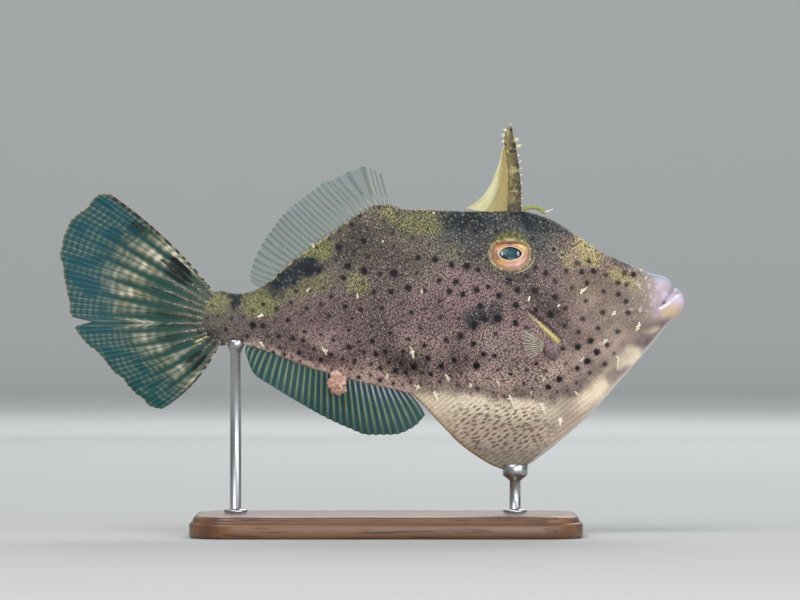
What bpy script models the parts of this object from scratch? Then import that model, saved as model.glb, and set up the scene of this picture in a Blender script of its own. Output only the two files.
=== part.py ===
"""A strapweed filefish as a life-size display model on a low stand.

Blender 4.5, metres, +Z up. +X points to the snout and the fish's right side faces -Y.
The origin is the middle of the whole model, on the underside of the base.
Sizes are in millimetres in the fish's own frame, where x = 0 is the middle of its length
and z = 0 is the height of its mouth. The empty named fish lifts that frame onto the stand.
"""

import math

import bmesh
import bpy
import numpy as np
from mathutils import Vector

MM = 0.001
GAP = 0.3

TOTAL_LENGTH = 170.0
SNOUT_TIP = TOTAL_LENGTH / 2
AXIS_HEIGHT = 64.0

# The silhouette without fins, from the tail root to the tip of the lower jaw, as (x, z).
BACK = [
    (-40.6, 2.6), (-36.5, 1.8), (-33.0, 2.3), (-29.5, 3.8), (-22.1, 10.2), (-11.3, 17.9),
    (-3.1, 23.5), (1.8, 25.8), (5.6, 25.8), (9.1, 24.7), (18.6, 24.5), (29.5, 24.0),
    (40.3, 24.2), (47.9, 22.3), (55.3, 17.9), (62.1, 13.4), (70.2, 9.6), (75.6, 7.3),
    (78.6, 6.6), (80.4, 6.0), (81.4, 5.0), (82.0, 3.9), (82.6, 3.1), (83.4, 2.9),
    (84.1, 2.2), (84.7, 1.0), (SNOUT_TIP, -0.6),
]  # fmt: skip
KEEL = [
    (-40.6, -12.4), (-36.8, -11.9), (-33.0, -12.6), (-26.2, -14.8), (-18.1, -17.9),
    (-9.9, -20.4), (-1.8, -22.5), (6.4, -24.4), (10.7, -25.7), (13.2, -27.7), (16.4, -31.2),
    (20.0, -35.0), (23.5, -38.6), (28.1, -42.1), (33.5, -45.2), (38.4, -46.6), (43.0, -44.4),
    (47.9, -40.9), (52.5, -37.2), (58.0, -32.3), (62.1, -28.1), (67.5, -22.0), (72.9, -15.8),
    (77.0, -11.0), (80.5, -6.6), (82.7, -4.8), (84.0, -3.4), (84.7, -2.0), (SNOUT_TIP, -0.6),
]  # fmt: skip
# Where the belly ends and the thin flap below it begins. It meets the keel at both ends.
FLAP_REAR, FLAP_FRONT = 10.7, 77.0
ABDOMEN = [
    (FLAP_REAR, -25.7), (18.6, -26.1), (26.7, -26.6), (34.9, -27.4), (43.0, -28.0),
    (51.2, -28.0), (58.0, -26.4), (63.4, -23.3), (68.8, -18.4), (74.3, -13.0),
    (FLAP_FRONT, -11.0),
]  # fmt: skip
# The greatest half width of each cross-section, and the height at which it lies.
HALF_WIDTH = [
    (-47.9, 1.9), (-44.0, 2.6), (-36.0, 3.4), (-28.0, 4.1), (-18.0, 5.4), (-8.0, 6.9),
    (2.0, 8.0), (14.0, 8.9), (26.0, 9.5), (38.0, 9.6), (48.0, 9.1), (58.0, 8.0), (66.0, 6.7),
    (73.0, 5.4), (78.0, 4.5), (81.0, 3.9), (83.0, 3.2), (84.3, 2.2), (SNOUT_TIP, 1.0),
]  # fmt: skip
WIDEST_AT = [
    (-47.9, -4.9), (-30.0, -4.6), (-10.0, -1.5), (10.0, 0.0), (35.0, 0.5), (50.0, -1.0),
    (65.0, -2.5), (76.0, -2.0), (SNOUT_TIP, -0.6),
]  # fmt: skip
TAIL_END = -47.9
TAIL_ROUND_FROM = -40.6
TAIL_MID = -4.9

BODY_ROWS = 14
EDGE_HALF = 0.45
TAIL_EDGE_HALF = 0.8
RIDGE_HALF = 1.25
BONE_EXTRA = 0.9
BONE_REACH = 2.6

EYE_AT = (37.5, 12.4)
EYE_RADII = (6.2, 2.9, 4.7)
EYE_DEPTH = 1.6
LID_RADII = (6.0, 4.75)
LID_HALF = (0.65, 0.85)

MOUTH_CORNER = (78.6, -1.6)
MOUTH_FRONT = (81.7, 2.5)
SLOT_HALF = (0.2, 0.5)
LIP_HEIGHT = 0.6
LIP_OFFSET = 1.0

NOSTRILS = [(49.3, 13.8, 0.85), (51.6, 12.2, 0.7)]
NOSTRIL_RIM = 0.3

# The line that parts the head from the trunk, which runs down the gill slit.
GILL_LINE = [
    (21.4, 30.0), (23.0, 17.7), (29.5, 6.8), (41.0, -1.6), (51.6, -10.8), (54.2, -19.6),
    (55.4, -31.0),
]  # fmt: skip
# The raised fold behind the gill slit, as (x, z, radius).
GILL_FOLD = [(41.4, -2.9, 0.25), (44.4, -5.4, 0.6), (48.0, -8.8, 0.85), (51.0, -11.6, 0.3)]
STALK_LINE = [(-31.4, 8.0), (-32.6, -4.9), (-31.4, -18.0)]

TAIL_RAYS, DORSAL_RAYS, ANAL_RAYS, PECTORAL_RAYS = 12, 30, 29, 12
MEMBRANE_HALF = 0.26
RAY_EXTRA = 0.2
RAY_TIP = 0.5
NOTCH_AT = 0.54
NOTCH_DEPTH = 3.2

PECTORAL_AT = (48.2, -13.6)
PECTORAL_LOBE = (2.5, 1.5, 2.5)
PECTORAL_ROOT = 2.85

# The first dorsal spine as (height above its foot, x of its middle, half length, half width).
SPINE = [
    (0.0, 38.8, 1.9, 1.3), (6.0, 38.8, 1.8, 1.2), (11.0, 38.5, 1.6, 1.1),
    (16.0, 37.9, 1.6, 0.95), (19.0, 37.5, 1.4, 0.8), (21.0, 37.4, 1.0, 0.65),
    (22.8, 37.6, 0.6, 0.45), (24.2, 37.9, 0.2, 0.18),
]  # fmt: skip
SPINE_SIDES = 12
MEMBRANE_FOOT = (25.6, 36.6)
# Barbs and tassels on the spine, as (height, length, lean in degrees above level).
FRONT_BARBS = [
    (1.6, 0.8, -20), (3.6, 0.9, -20), (5.6, 0.9, -15), (7.6, 1.0, -10), (9.6, 1.1, 10),
    (11.2, 1.4, 25), (12.8, 1.5, 35), (15.0, 0.9, 10), (17.4, 2.0, 5), (19.0, 1.6, 30),
]  # fmt: skip
REAR_BARBS = [(17.4, 1.0, -20), (19.0, 1.2, -10), (20.4, 1.2, 10), (21.8, 1.0, 20)]

# The small branched tassels of skin, the same on both sides, as (x, z, length, lean in degrees).
TASSELS = [
    (-29.5, -10.6, 2.2, 200), (-12.1, -13.3, 2.4, 120), (4.5, -20.4, 2.6, 60),
    (11.0, -14.4, 3.0, 100), (11.8, -22.4, 2.4, 90), (21.3, -21.5, 2.8, 95),
    (26.2, -23.1, 2.6, 80), (34.4, -22.3, 2.8, 110), (39.6, -23.9, 3.4, 60),
    (58.0, -22.2, 2.8, 70), (57.6, -16.3, 2.6, 100), (66.7, -11.6, 2.6, 75),
    (63.1, -8.5, 2.4, 70), (46.5, 2.0, 2.0, 60), (56.9, 2.7, 2.8, 35), (67.8, 2.2, 2.8, 30),
    (71.6, -5.4, 2.4, 70), (-16.2, 11.6, 2.0, 120), (9.0, 14.0, 2.0, 140),
]  # fmt: skip
FLAP_TASSELS = [(37.3, -31.2, 3.4, 60), (46.6, -33.0, 3.4, 75), (51.6, -33.4, 2.4, 80)]
TASSEL_RADII = (0.42, 0.3, 0.14)

# The strap of skin that lies along the forehead, as (x, z, radius).
FOREHEAD_STRAP = [
    (40.8, 23.6, 0.35), (42.0, 24.8, 0.5), (43.8, 25.1, 0.55), (45.8, 24.5, 0.5),
    (47.0, 23.0, 0.35),
]  # fmt: skip
STRAP_TIP = [(46.6, 23.3, 0.35), (47.9, 24.1, 0.28), (49.3, 24.7, 0.14)]
# The fleshy lump beside the front of the anal fin, on the right side only.
LUMP_AT, LUMP_RADII = (-9.3, -3.0, -21.6), (3.1, 1.6, 3.3)

BASE_SIZE = (106.0, 54.0, 6.0)
BASE_X = 4.0
ROD_RADIUS = 1.5
FRONT_ROD_X, REAR_ROD_X = 39.0, -36.9


def smooth(points):
    """The monotone cubic through the points, as a function of their first coordinate."""
    xs, ys = np.array(points, float).T
    step = np.diff(xs)
    slope = np.diff(ys) / step
    same_way = slope[:-1] * slope[1:] > 0
    mean = np.zeros(len(slope) - 1)
    mean[same_way] = 2 / (1 / slope[:-1][same_way] + 1 / slope[1:][same_way])
    tangent = np.concatenate([slope[:1], mean, slope[-1:]])

    def value(x):
        x = np.clip(x, xs[0], xs[-1])
        i = np.clip(np.searchsorted(xs, x, side="right") - 1, 0, len(step) - 1)
        t = (x - xs[i]) / step[i]
        s = 1 - t
        return (
            ys[i] * s * s * (1 + 2 * t)
            + ys[i + 1] * t * t * (1 + 2 * s)
            + step[i] * s * t * (tangent[i] * s - tangent[i + 1] * t)
        )

    return value


def along(points):
    """A smooth plane curve through the points, as a function of the share of its chord length."""
    points = np.array(points, float)
    run = np.concatenate([[0], np.cumsum(np.linalg.norm(np.diff(points, axis=0), axis=1))])
    run /= run[-1]
    across, up = (smooth(np.column_stack([run, points[:, k]])) for k in (0, 1))
    return lambda u: np.stack([across(u), up(u)], axis=-1)


back_line = smooth(BACK)
keel_line = smooth(KEEL)
abdomen_line = smooth(ABDOMEN)
half_width_line = smooth(HALF_WIDTH)
widest_line = smooth(WIDEST_AT)


def tail_round(x):
    """From 1 at the tail stalk down to 0 at the tail's end, as a quarter ellipse."""
    t = np.clip((TAIL_ROUND_FROM - x) / (TAIL_ROUND_FROM - TAIL_END), 0, 1)
    return np.sqrt(1 - t * t)


def top_of(x):
    return TAIL_MID + (back_line(x) - TAIL_MID) * tail_round(x)


def keel_of(x):
    return TAIL_MID + (keel_line(x) - TAIL_MID) * tail_round(x)


def belly_of(x):
    """The lower edge of the body proper: the keel, or the abdomen line above the flap."""
    inside = (x > FLAP_REAR) & (x < FLAP_FRONT)
    return np.where(inside, np.maximum(abdomen_line(x), keel_of(x)), keel_of(x))


def steepness(line, x):
    """The cosine of a line's slope, which turns a height above it into a distance from it."""
    rise = (line(x + 0.5) - line(x - 0.5)) / 1.0
    return 1 / np.sqrt(1 + rise * rise)


def edge_half(x):
    """Half the width of the narrow flats along the back and the belly."""
    tail = np.clip((x - TAIL_END) / 10, 0, 1)
    snout = np.clip((SNOUT_TIP - x) / 3, 0, 1)
    return (TAIL_EDGE_HALF + (EDGE_HALF - TAIL_EDGE_HALF) * tail) * (0.5 + 0.5 * snout)


def mouth_distance(x, z):
    """How far along the mouth line a point lies, as a share, and how far from the line."""
    corner, front = np.array(MOUTH_CORNER), np.array(MOUTH_FRONT)
    run = front - corner
    share = ((x - corner[0]) * run[0] + (z - corner[1]) * run[1]) / (run @ run)
    off = ((x - corner[0]) * run[1] - (z - corner[1]) * run[0]) / math.hypot(*run)
    return share, off


def half_width(x, z):
    """The body's half width at x, z: a lens that narrows to a ridge above and below.

    The lens is W (1 - s^n)^m with s the share of the way from the widest height to the edge.
    The ridge is a round-edged sheet along the outline, thicker over the bone at the flap's
    front, and the two are joined as the cube root of the sum of their cubes.
    """
    top, low, keel, wide = top_of(x), belly_of(x), keel_of(x), widest_line(x)
    wide = np.clip(wide, low + 0.3 * (top - low), top - 0.3 * (top - low))
    up = np.clip((z - wide) / np.maximum(top - wide, 1e-6), 0, 1)
    down = np.clip((wide - z) / np.maximum(wide - low, 1e-6), 0, 1)
    lens = half_width_line(x) * (1 - np.maximum(up, down) ** 2.3) ** 0.72
    lens = lens * np.sqrt(np.maximum(tail_round(x), 0.05))
    from_top = (top - z) * steepness(top_of, x)
    from_keel = (z - keel) * steepness(keel_of, x)
    front = np.clip((x - 34) / 10, 0, 1) * np.clip((SNOUT_TIP - x) / 8, 0, 1)
    bone = BONE_EXTRA * front * np.exp(-((from_keel / BONE_REACH) ** 2))
    sheet = np.minimum(RIDGE_HALF + bone, half_width_line(x))
    off = np.clip(np.minimum(from_top, from_keel) / (1.5 * sheet), 0, 1)
    ridge = edge_half(x) + (sheet - edge_half(x)) * np.sqrt(1 - (1 - off) ** 2)
    body = np.cbrt(lens**3 + ridge**3)
    share, away = mouth_distance(x, z)
    on_lip = np.clip(share + 0.3, 0, 1) * np.clip(1.6 - share, 0, 1)
    lip = LIP_HEIGHT * on_lip * np.exp(-(((np.abs(away) - LIP_OFFSET) / 0.6) ** 2))
    return body + lip


def material(name, colour, roughness, metallic=0.0):
    """A Principled material in one colour."""
    made = bpy.data.materials.new(name)
    made.use_nodes = True
    shader = made.node_tree.nodes["Principled BSDF"]
    shader.inputs["Base Color"].default_value = (*colour, 1.0)
    shader.inputs["Roughness"].default_value = roughness
    shader.inputs["Metallic"].default_value = metallic
    made.diffuse_color = (*colour, 1.0)
    return made


def new_object(name, points, faces, look, parent=None, at=(0, 0, 0)):
    """A mesh object from points in millimetres, about its own origin at a point of the frame."""
    mesh = bpy.data.meshes.new(name)
    scaled = np.asarray(points, float) * MM
    mesh.from_pydata(scaled.tolist(), [], [list(map(int, face)) for face in faces])
    mesh.validate()
    shell = bmesh.new()
    shell.from_mesh(mesh)
    bmesh.ops.recalc_face_normals(shell, faces=shell.faces)
    shell.to_mesh(mesh)
    shell.free()
    made = bpy.data.objects.new(name, mesh)
    bpy.context.scene.collection.objects.link(made)
    mesh.materials.append(look)
    made.parent = parent
    made.location = Vector(at) * MM
    return made


def clear_scene():
    for old in list(bpy.data.objects):
        bpy.data.objects.remove(old, do_unlink=True)


def applied(obj):
    """Puts the evaluated mesh in place of the object's own, and drops its modifiers."""
    bpy.context.view_layer.update()
    graph = bpy.context.evaluated_depsgraph_get()
    mesh = bpy.data.meshes.new_from_object(obj.evaluated_get(graph))
    old = obj.data
    obj.modifiers.clear()
    obj.data = mesh
    mesh.name = obj.name
    bpy.data.meshes.remove(old)


def combine(obj, others, operation, solver="EXACT"):
    """One Boolean with all the others, which are then removed.

    The exact solver leaves open edges at the tassels' fine roots, so the flesh is joined and
    cut with the manifold one.
    """
    tools = bpy.data.collections.new("tools")
    bpy.context.scene.collection.children.link(tools)
    for other in others:
        bpy.context.scene.collection.objects.unlink(other)
        tools.objects.link(other)
    step = obj.modifiers.new("combine", "BOOLEAN")
    step.operation = operation
    step.solver = solver
    step.operand_type = "COLLECTION"
    step.collection = tools
    applied(obj)
    for other in others:
        bpy.data.objects.remove(other, do_unlink=True)
    bpy.data.collections.remove(tools)


def islands_of(shell):
    """The face sets of a bmesh that hang together."""
    unseen = set(shell.faces)
    while unseen:
        stack = [unseen.pop()]
        found = set(stack)
        while stack:
            for edge in stack.pop().edges:
                for face in edge.link_faces:
                    if face in unseen:
                        unseen.discard(face)
                        found.add(face)
                        stack.append(face)
        yield found


def pieces_of(obj):
    """The closed surfaces of a mesh, largest first, each as (points in mm, faces)."""
    shell = bmesh.new()
    shell.from_mesh(obj.data)
    made = []
    for faces in islands_of(shell):
        corners = list({v for face in faces for v in face.verts})
        index = {v: i for i, v in enumerate(corners)}
        points = np.array([v.co for v in corners]) / MM
        made.append((points, [[index[v] for v in face.verts] for face in faces]))
    shell.free()
    return sorted(made, key=lambda piece: -np.prod(np.ptp(piece[0], axis=0)))


def keep_largest(obj):
    """Keeps the largest closed surface of an object whose origin is its parent's."""
    points, faces = pieces_of(obj)[0]
    look, name, parent, at = obj.data.materials[0], obj.name, obj.parent, obj.location / MM
    bpy.data.objects.remove(obj, do_unlink=True)
    return new_object(name, points, faces, look, parent, at)


def flesh_shell(stations, low, rows, grow=0.0):
    """Points and faces of the flesh between the back line and a lower line.

    Each station is a ring: down the right side, across the lower edge and up the left side.
    """
    share = np.linspace(0, 1, rows)
    share = 0.35 * share + 0.65 * (1 - np.cos(np.pi * share)) / 2
    x = np.repeat(stations[:, None], rows, axis=1)
    top, bottom = top_of(x), low(x)
    z = top + (bottom - top) * share[None, :]
    y = half_width(x, z)
    right = np.stack([x, -y, z], axis=-1)
    left = np.stack([x, y, z], axis=-1)[:, ::-1]
    rings = np.concatenate([right, left], axis=1)
    return skinned(rings, grow)


def skinned(rings, grow=0.0):
    """A closed tube of quads over rings of equal count, with an n-gon at each end.

    grow moves every point outwards along its normal by that many millimetres.
    """
    count, around = rings.shape[:2]
    index = np.arange(count * around).reshape(count, around)
    a, b = index[:-1], index[1:]
    quads = np.stack([a, b, np.roll(b, -1, axis=1), np.roll(a, -1, axis=1)], axis=-1)
    faces = [list(q) for q in quads.reshape(-1, 4)]
    faces += [list(index[0]), list(index[-1])]
    points = rings.reshape(-1, 3)
    if grow:
        mesh = bpy.data.meshes.new("grown")
        mesh.from_pydata(points.tolist(), [], [list(map(int, face)) for face in faces])
        shell = bmesh.new()
        shell.from_mesh(mesh)
        bmesh.ops.recalc_face_normals(shell, faces=shell.faces)
        shell.normal_update()
        points = np.array([v.co + v.normal * grow for v in shell.verts])
        shell.free()
        bpy.data.meshes.remove(mesh)
    return points, faces


def body_stations():
    """The x of each cross-section, close together at both ends and round the mouth."""
    end = TAIL_END + 0.15
    bend = end + (TAIL_ROUND_FROM - end) * (1 - np.cos(np.linspace(0, np.pi / 2, 7)))
    runs = [
        bend,
        np.linspace(TAIL_ROUND_FROM, -28, 6)[1:],
        np.linspace(-28, 10, 15)[1:],
        np.linspace(10, 46, 16)[1:],
        np.linspace(46, 75, 13)[1:],
        np.linspace(75, 82.2, 9)[1:],
        SNOUT_TIP - 0.03 - 2.77 * np.cos(np.linspace(0, np.pi / 2, 7))[1:],
    ]
    return np.concatenate(runs)


def flap_shell(grow=0.0):
    """Points and faces of the thin flap below the belly, from the abdomen line to the keel."""
    stations = np.concatenate([np.linspace(12.4, 40, 15), np.linspace(40, 74.6, 16)[1:]])
    rows = 10
    share = np.linspace(0, 1, rows)
    share = 0.5 * share + 0.5 * np.sin(np.pi / 2 * share)
    x = np.repeat(stations[:, None], rows, axis=1)
    top, bottom = abdomen_line(x) - GAP, keel_of(x)
    z = top + (bottom - top) * share[None, :]
    y = half_width(x, z)
    y = np.where(share[None, :] == 0, half_width(x, abdomen_line(x)), y)
    rings = np.concatenate(
        [np.stack([x, -y, z], axis=-1), np.stack([x, y, z], axis=-1)[:, ::-1]], axis=1
    )
    return skinned(rings, grow)


def wall(points, look, half=GAP / 2, reach=30.0):
    """A thin upright sheet along a line in the x-z plane, used to part the flesh."""
    line = along(points)(np.linspace(0, 1, 25))
    run = np.gradient(line, axis=0)
    run /= np.linalg.norm(run, axis=1)[:, None]
    side = np.stack([-run[:, 1], run[:, 0]], axis=1) * half
    near, far = line - side, line + side
    rings = np.stack(
        [
            np.stack([edge[:, 0], np.full(len(edge), y), edge[:, 1]], axis=1)
            for edge, y in ((near, -reach), (near, reach), (far, reach), (far, -reach))
        ],
        axis=1,
    )
    points, faces = skinned(rings)
    return new_object("wall", points, faces, look, fish)


def ellipsoid(radii, at, look, name="ellipsoid", around=24, rows=12):
    """A closed ellipsoid with its poles on the y axis."""
    angle = np.linspace(0, 2 * np.pi, around, endpoint=False)
    tilt = np.linspace(0, np.pi, rows + 1)[1:-1]
    x = radii[0] * np.sin(tilt)[:, None] * np.cos(angle)[None, :]
    z = radii[2] * np.sin(tilt)[:, None] * np.sin(angle)[None, :]
    y = np.repeat((radii[1] * np.cos(tilt))[:, None], around, axis=1)
    points = np.stack([x, y, z], axis=-1).reshape(-1, 3)
    points = np.vstack([points, [0, radii[1], 0], [0, -radii[1], 0]])
    index = np.arange((rows - 1) * around).reshape(rows - 1, around)
    a, b = index[:-1], index[1:]
    quads = np.stack([a, b, np.roll(b, -1, axis=1), np.roll(a, -1, axis=1)], axis=-1)
    faces = [list(q) for q in quads.reshape(-1, 4)]
    north, south = len(points) - 2, len(points) - 1
    for k in range(around):
        after = (k + 1) % around
        faces.append([north, index[0, k], index[0, after]])
        faces.append([south, index[-1, after], index[-1, k]])
    return new_object(name, points, faces, look, fish, at)


def ring(centre, radii, half, side, look, around=24, sides=7):
    """A closed elliptical rim that lies on the skin of one side, thicker above than below."""
    angle = np.linspace(0, 2 * np.pi, around, endpoint=False)[:, None]
    turn = np.linspace(0, 2 * np.pi, sides, endpoint=False)[None, :]
    thick = half[0] + (half[1] - half[0]) * (1 + np.sin(angle)) / 2
    path_x = centre[0] + radii[0] * np.cos(angle)
    path_z = centre[1] + radii[1] * np.sin(angle)
    x = path_x + thick * np.cos(turn) * np.cos(angle)
    z = path_z + thick * np.cos(turn) * np.sin(angle)
    y = side * (half_width(path_x, path_z) + thick * np.sin(turn))
    points = np.stack([x, y, z], axis=-1).reshape(-1, 3)
    index = np.arange(around * sides).reshape(around, sides)
    after = np.roll(index, -1, axis=0)
    quads = np.stack(
        [index, after, np.roll(after, -1, axis=1), np.roll(index, -1, axis=1)], axis=-1
    )
    return new_object("ring", points, quads.reshape(-1, 4), look, fish)


def tapered(path, radii, look, sides=4):
    """A closed spike or strap along a few points, thinner or thicker by each point's radius."""
    path = np.array(path, float)
    run = np.gradient(path, axis=0)
    run /= np.linalg.norm(run, axis=1)[:, None]
    across = np.cross(run, [0.31, 0.17, 0.93])
    across /= np.linalg.norm(across, axis=1)[:, None]
    up = np.cross(run, across)
    angle = np.linspace(0, 2 * np.pi, sides, endpoint=False)[None, :, None]
    round_it = across[:, None] * np.cos(angle) + up[:, None] * np.sin(angle)
    rings = path[:, None] + round_it * np.array(radii, float)[:, None, None]
    points, faces = skinned(rings)
    return new_object("tapered", points, faces, look, fish)


def flank_at(x, z, side):
    """The point of the skin at x, z on one side, and the way out of it."""

    def width(x, z):
        return float(half_width(np.array([x]), np.array([z]))[0])

    slope_x = (width(x + 0.5, z) - width(x - 0.5, z)) / 1.0
    slope_z = (width(x, z + 0.5) - width(x, z - 0.5)) / 1.0
    out = np.array([-slope_x, side, -slope_z])
    return np.array([x, side * width(x, z), z]), out / np.linalg.norm(out)


def tassels(rows, look):
    """Small branched tassels: two tapered spikes that part from one root in the skin."""
    made = []
    for x, z, length, lean in rows:
        for side in (-1, 1):
            foot, out = flank_at(x, z, side)
            for turn, share in ((0, 1.0), (38, 0.7)):
                angle = math.radians(lean + turn)
                lie = np.array([math.cos(angle), 0, math.sin(angle)])
                middle = foot + 0.45 * length * share * (0.7 * lie + 0.7 * out)
                end = foot + length * share * (0.88 * lie + 0.45 * out)
                path = [foot - 0.45 * out, middle, end]
                made.append(tapered(path, TASSEL_RADII, look, 3))
    return made


def mouth_slot(look):
    """The wedge that parts the lips, from the corner of the mouth out past its front."""
    corner, front = np.array(MOUTH_CORNER), np.array(MOUTH_FRONT)
    run = (front - corner) / np.linalg.norm(front - corner)
    side = np.array([-run[1], run[0]])
    past = front + 2.0 * run
    narrow, wide = SLOT_HALF[0] * side, SLOT_HALF[1] * side
    outline = [corner - narrow, past - wide, past + wide, corner + narrow]
    points = [(x, y, z) for y in (-8.0, 8.0) for x, z in outline]
    faces = [(0, 1, 2, 3), (4, 5, 6, 7)]
    faces += [(k, (k + 1) % 4, 4 + (k + 1) % 4, 4 + k) for k in range(4)]
    return new_object("slot", points, faces, look, fish)


def fin_shell(root, tip, bulge, sway, half, columns, rows):
    """Points and triangles of a thin fin between its root line and its margin.

    u runs along the fin and v out along its rays. A ray is a quadratic curve from root(u) to
    tip(u) whose middle is pushed sideways by bulge(u). sway(u, v) bends the sheet to one side
    and half(u, v) is half its thickness. Both faces are split along the same diagonals.
    """
    u = columns[:, None]
    v = np.linspace(0, 1, rows)[None, :]
    start, end = root(columns), tip(columns)
    run = end - start
    side = np.stack([-run[:, 1], run[:, 0]], axis=1)
    side /= np.linalg.norm(side, axis=1)[:, None]
    middle = (start + end) / 2 + side * bulge(columns)[:, None]
    plane = (
        start[:, None] * ((1 - v) ** 2)[..., None]
        + middle[:, None] * (2 * v * (1 - v))[..., None]
        + end[:, None] * (v**2)[..., None]
    )
    bend = np.broadcast_to(sway(u, v), plane.shape[:2])
    thick = np.broadcast_to(half(u, v), plane.shape[:2])
    faces = []
    sheets = [
        np.stack([plane[..., 0], bend + sign * thick, plane[..., 1]], axis=-1).reshape(-1, 3)
        for sign in (-1, 1)
    ]
    count = len(columns)
    index = np.arange(count * rows).reshape(count, rows)
    a, b, c, d = index[:-1, :-1], index[1:, :-1], index[1:, 1:], index[:-1, 1:]
    near = np.concatenate([np.stack([a, b, c], -1), np.stack([a, c, d], -1)]).reshape(-1, 3)
    other = count * rows
    faces += near.tolist() + (near[:, ::-1] + other).tolist()
    rim = np.concatenate([index[:, 0], index[-1, 1:], index[-2::-1, -1], index[0, -2:0:-1]])
    for here, there in zip(rim, np.roll(rim, -1)):
        faces.append([here, there, there + other])
        faces.append([here, there + other, here + other])
    return np.vstack(sheets), faces


def on_ray(rays, u):
    """From 0 midway between two rays to 1 on a ray."""
    return (1 - np.cos(2 * np.pi * rays * u)) / 2


def ridged(rays, root_half):
    """The half thickness of a fin: a membrane with a ridge along each ray."""

    def half(u, v):
        ridge = RAY_EXTRA * on_ray(rays, u) * (1 - 0.5 * v) * np.minimum(1, 6 * v)
        return root_half + (MEMBRANE_HALF - root_half) * np.sqrt(v) + ridge

    return half


def ray_tips(rays, root, margin):
    """The margin drawn in a little between the rays, so that each ray ends in a tip."""

    def tip(u):
        inward = root(u) - margin(u)
        inward /= np.linalg.norm(inward, axis=-1)[:, None]
        return margin(u) + inward * (RAY_TIP * (1 - on_ray(rays, u)))[:, None]

    return tip


def fin_columns(rays):
    """Where the columns of a fin lie, from 0 to 1: one on each ray and one between."""
    return np.linspace(0, 1, 2 * rays + 1)


def make_tail_fin():
    """The fan of twelve rays, with the notch that the real fin has near its middle."""
    start, stop = math.radians(105), math.radians(268)
    across, up = TAIL_ROUND_FROM - TAIL_END + GAP, 7.5 + GAP

    def root(u):
        angle = start + (stop - start) * u
        x = TAIL_ROUND_FROM + across * np.cos(angle)
        return np.stack([x, TAIL_MID + up * np.sin(angle)], axis=-1)

    margin = along(
        [
            (-71.4, 29.2), (-73.6, 29.1), (-78.6, 25.0), (-83.2, 19.8), (-SNOUT_TIP, 13.4),
            (-84.2, 6.0), (-83.3, 2.2), (-82.4, -2.7), (-80.5, -8.1), (-73.7, -15.8),
            (-65.6, -24.4), (-60.2, -29.4), (-57.4, -30.1), (-56.0, -29.4),
        ]  # fmt: skip
    )

    def tip(u):
        notch = np.maximum(0, 1 - np.abs(u - NOTCH_AT) * TAIL_RAYS)
        place = margin(u)
        inward = np.array([TAIL_ROUND_FROM, TAIL_MID]) - place
        inward /= np.linalg.norm(inward, axis=-1)[:, None]
        return place + inward * (NOTCH_DEPTH * notch)[:, None]

    points, faces = fin_shell(
        root,
        ray_tips(TAIL_RAYS, root, tip),
        lambda u: 3.2 * (2 * u - 1),
        lambda u, v: 1.6 * np.sin(2.2 * np.pi * u + 0.4) * v**1.5,
        ridged(TAIL_RAYS, TAIL_EDGE_HALF),
        fin_columns(TAIL_RAYS),
        8,
    )
    return new_object("tail_fin", points, faces, LOOKS["fin"], fish)


def make_dorsal_fin():
    """The soft fin along the back, thirty rays that lean towards the tail."""
    rear, front = -29.7, 5.8
    length = smooth(
        [(0, 3.0), (0.08, 6.0), (0.25, 9.5), (0.5, 12.3), (0.7, 12.6), (0.88, 11.2), (1, 8.6)]
    )
    lean = smooth([(0, 0.55), (0.3, 0.25), (0.6, 0.22), (1, 0.32)])

    def root(u):
        x = rear + (front - rear) * u
        return np.stack([x, top_of(x) + GAP], axis=-1)

    def tip(u):
        ray = np.stack([-np.sin(lean(u)), np.cos(lean(u))], axis=-1)
        return root(u) + ray * length(u)[:, None]

    points, faces = fin_shell(
        root,
        ray_tips(DORSAL_RAYS, root, tip),
        lambda u: 0.5 + 0 * u,
        lambda u, v: 2.2 * np.sin(2 * np.pi * (1.35 * u + 0.1)) * v**1.4,
        ridged(DORSAL_RAYS, EDGE_HALF),
        fin_columns(DORSAL_RAYS),
        5,
    )
    return new_object("dorsal_fin", points, faces, LOOKS["fin"], fish)


def make_anal_fin():
    """The fin below the tail half of the belly, whose rays fan out to both ends."""
    rear, front = -33.5, 9.4
    margin = along(
        [
            (-34.1, -14.7), (-32.2, -19.6), (-26.7, -23.6), (-20.0, -27.7), (-12.9, -31.8),
            (-6.4, -34.8), (-0.7, -36.7), (6.0, -36.6), (11.6, -34.4), (14.6, -31.2),
        ]  # fmt: skip
    )

    def root(u):
        x = rear + (front - rear) * u
        return np.stack([x, keel_of(x) - GAP], axis=-1)

    points, faces = fin_shell(
        root,
        ray_tips(ANAL_RAYS, root, margin),
        lambda u: 0.9 * (2 * u - 1) ** 3,
        lambda u, v: 2.0 * np.sin(2 * np.pi * (1.3 * u + 0.55)) * v**1.4,
        ridged(ANAL_RAYS, EDGE_HALF),
        fin_columns(ANAL_RAYS),
        5,
    )
    return new_object("anal_fin", points, faces, LOOKS["fin"], fish)


def make_pectoral_fin(name, side):
    """A small fan that grows from the lobe behind the gill slit and lies back along the flank."""
    centre = np.array(PECTORAL_AT)
    start, stop = math.radians(152), math.radians(238)

    def at_radius(u, radius):
        angle = start + (stop - start) * u
        return centre + np.stack([np.cos(angle), np.sin(angle)], axis=-1) * radius[:, None]

    def root(u):
        return at_radius(u, np.full(len(u), PECTORAL_ROOT))

    def sway(u, v):
        foot = root(np.ravel(u))
        flank = half_width(foot[:, 0], foot[:, 1])[:, None]
        return flank + 0.75 + v * (3.6 + 1.4 * u) + 0.5 * v * np.sin(np.pi * u)

    points, faces = fin_shell(
        root,
        ray_tips(PECTORAL_RAYS, root, lambda u: at_radius(u, 8.6 - 2.6 * u)),
        lambda u: 0 * u,
        sway,
        ridged(PECTORAL_RAYS, 0.4),
        fin_columns(PECTORAL_RAYS),
        5,
    )
    points[:, 1] *= side
    return new_object(name, points, faces, LOOKS["fin"], fish)


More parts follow.
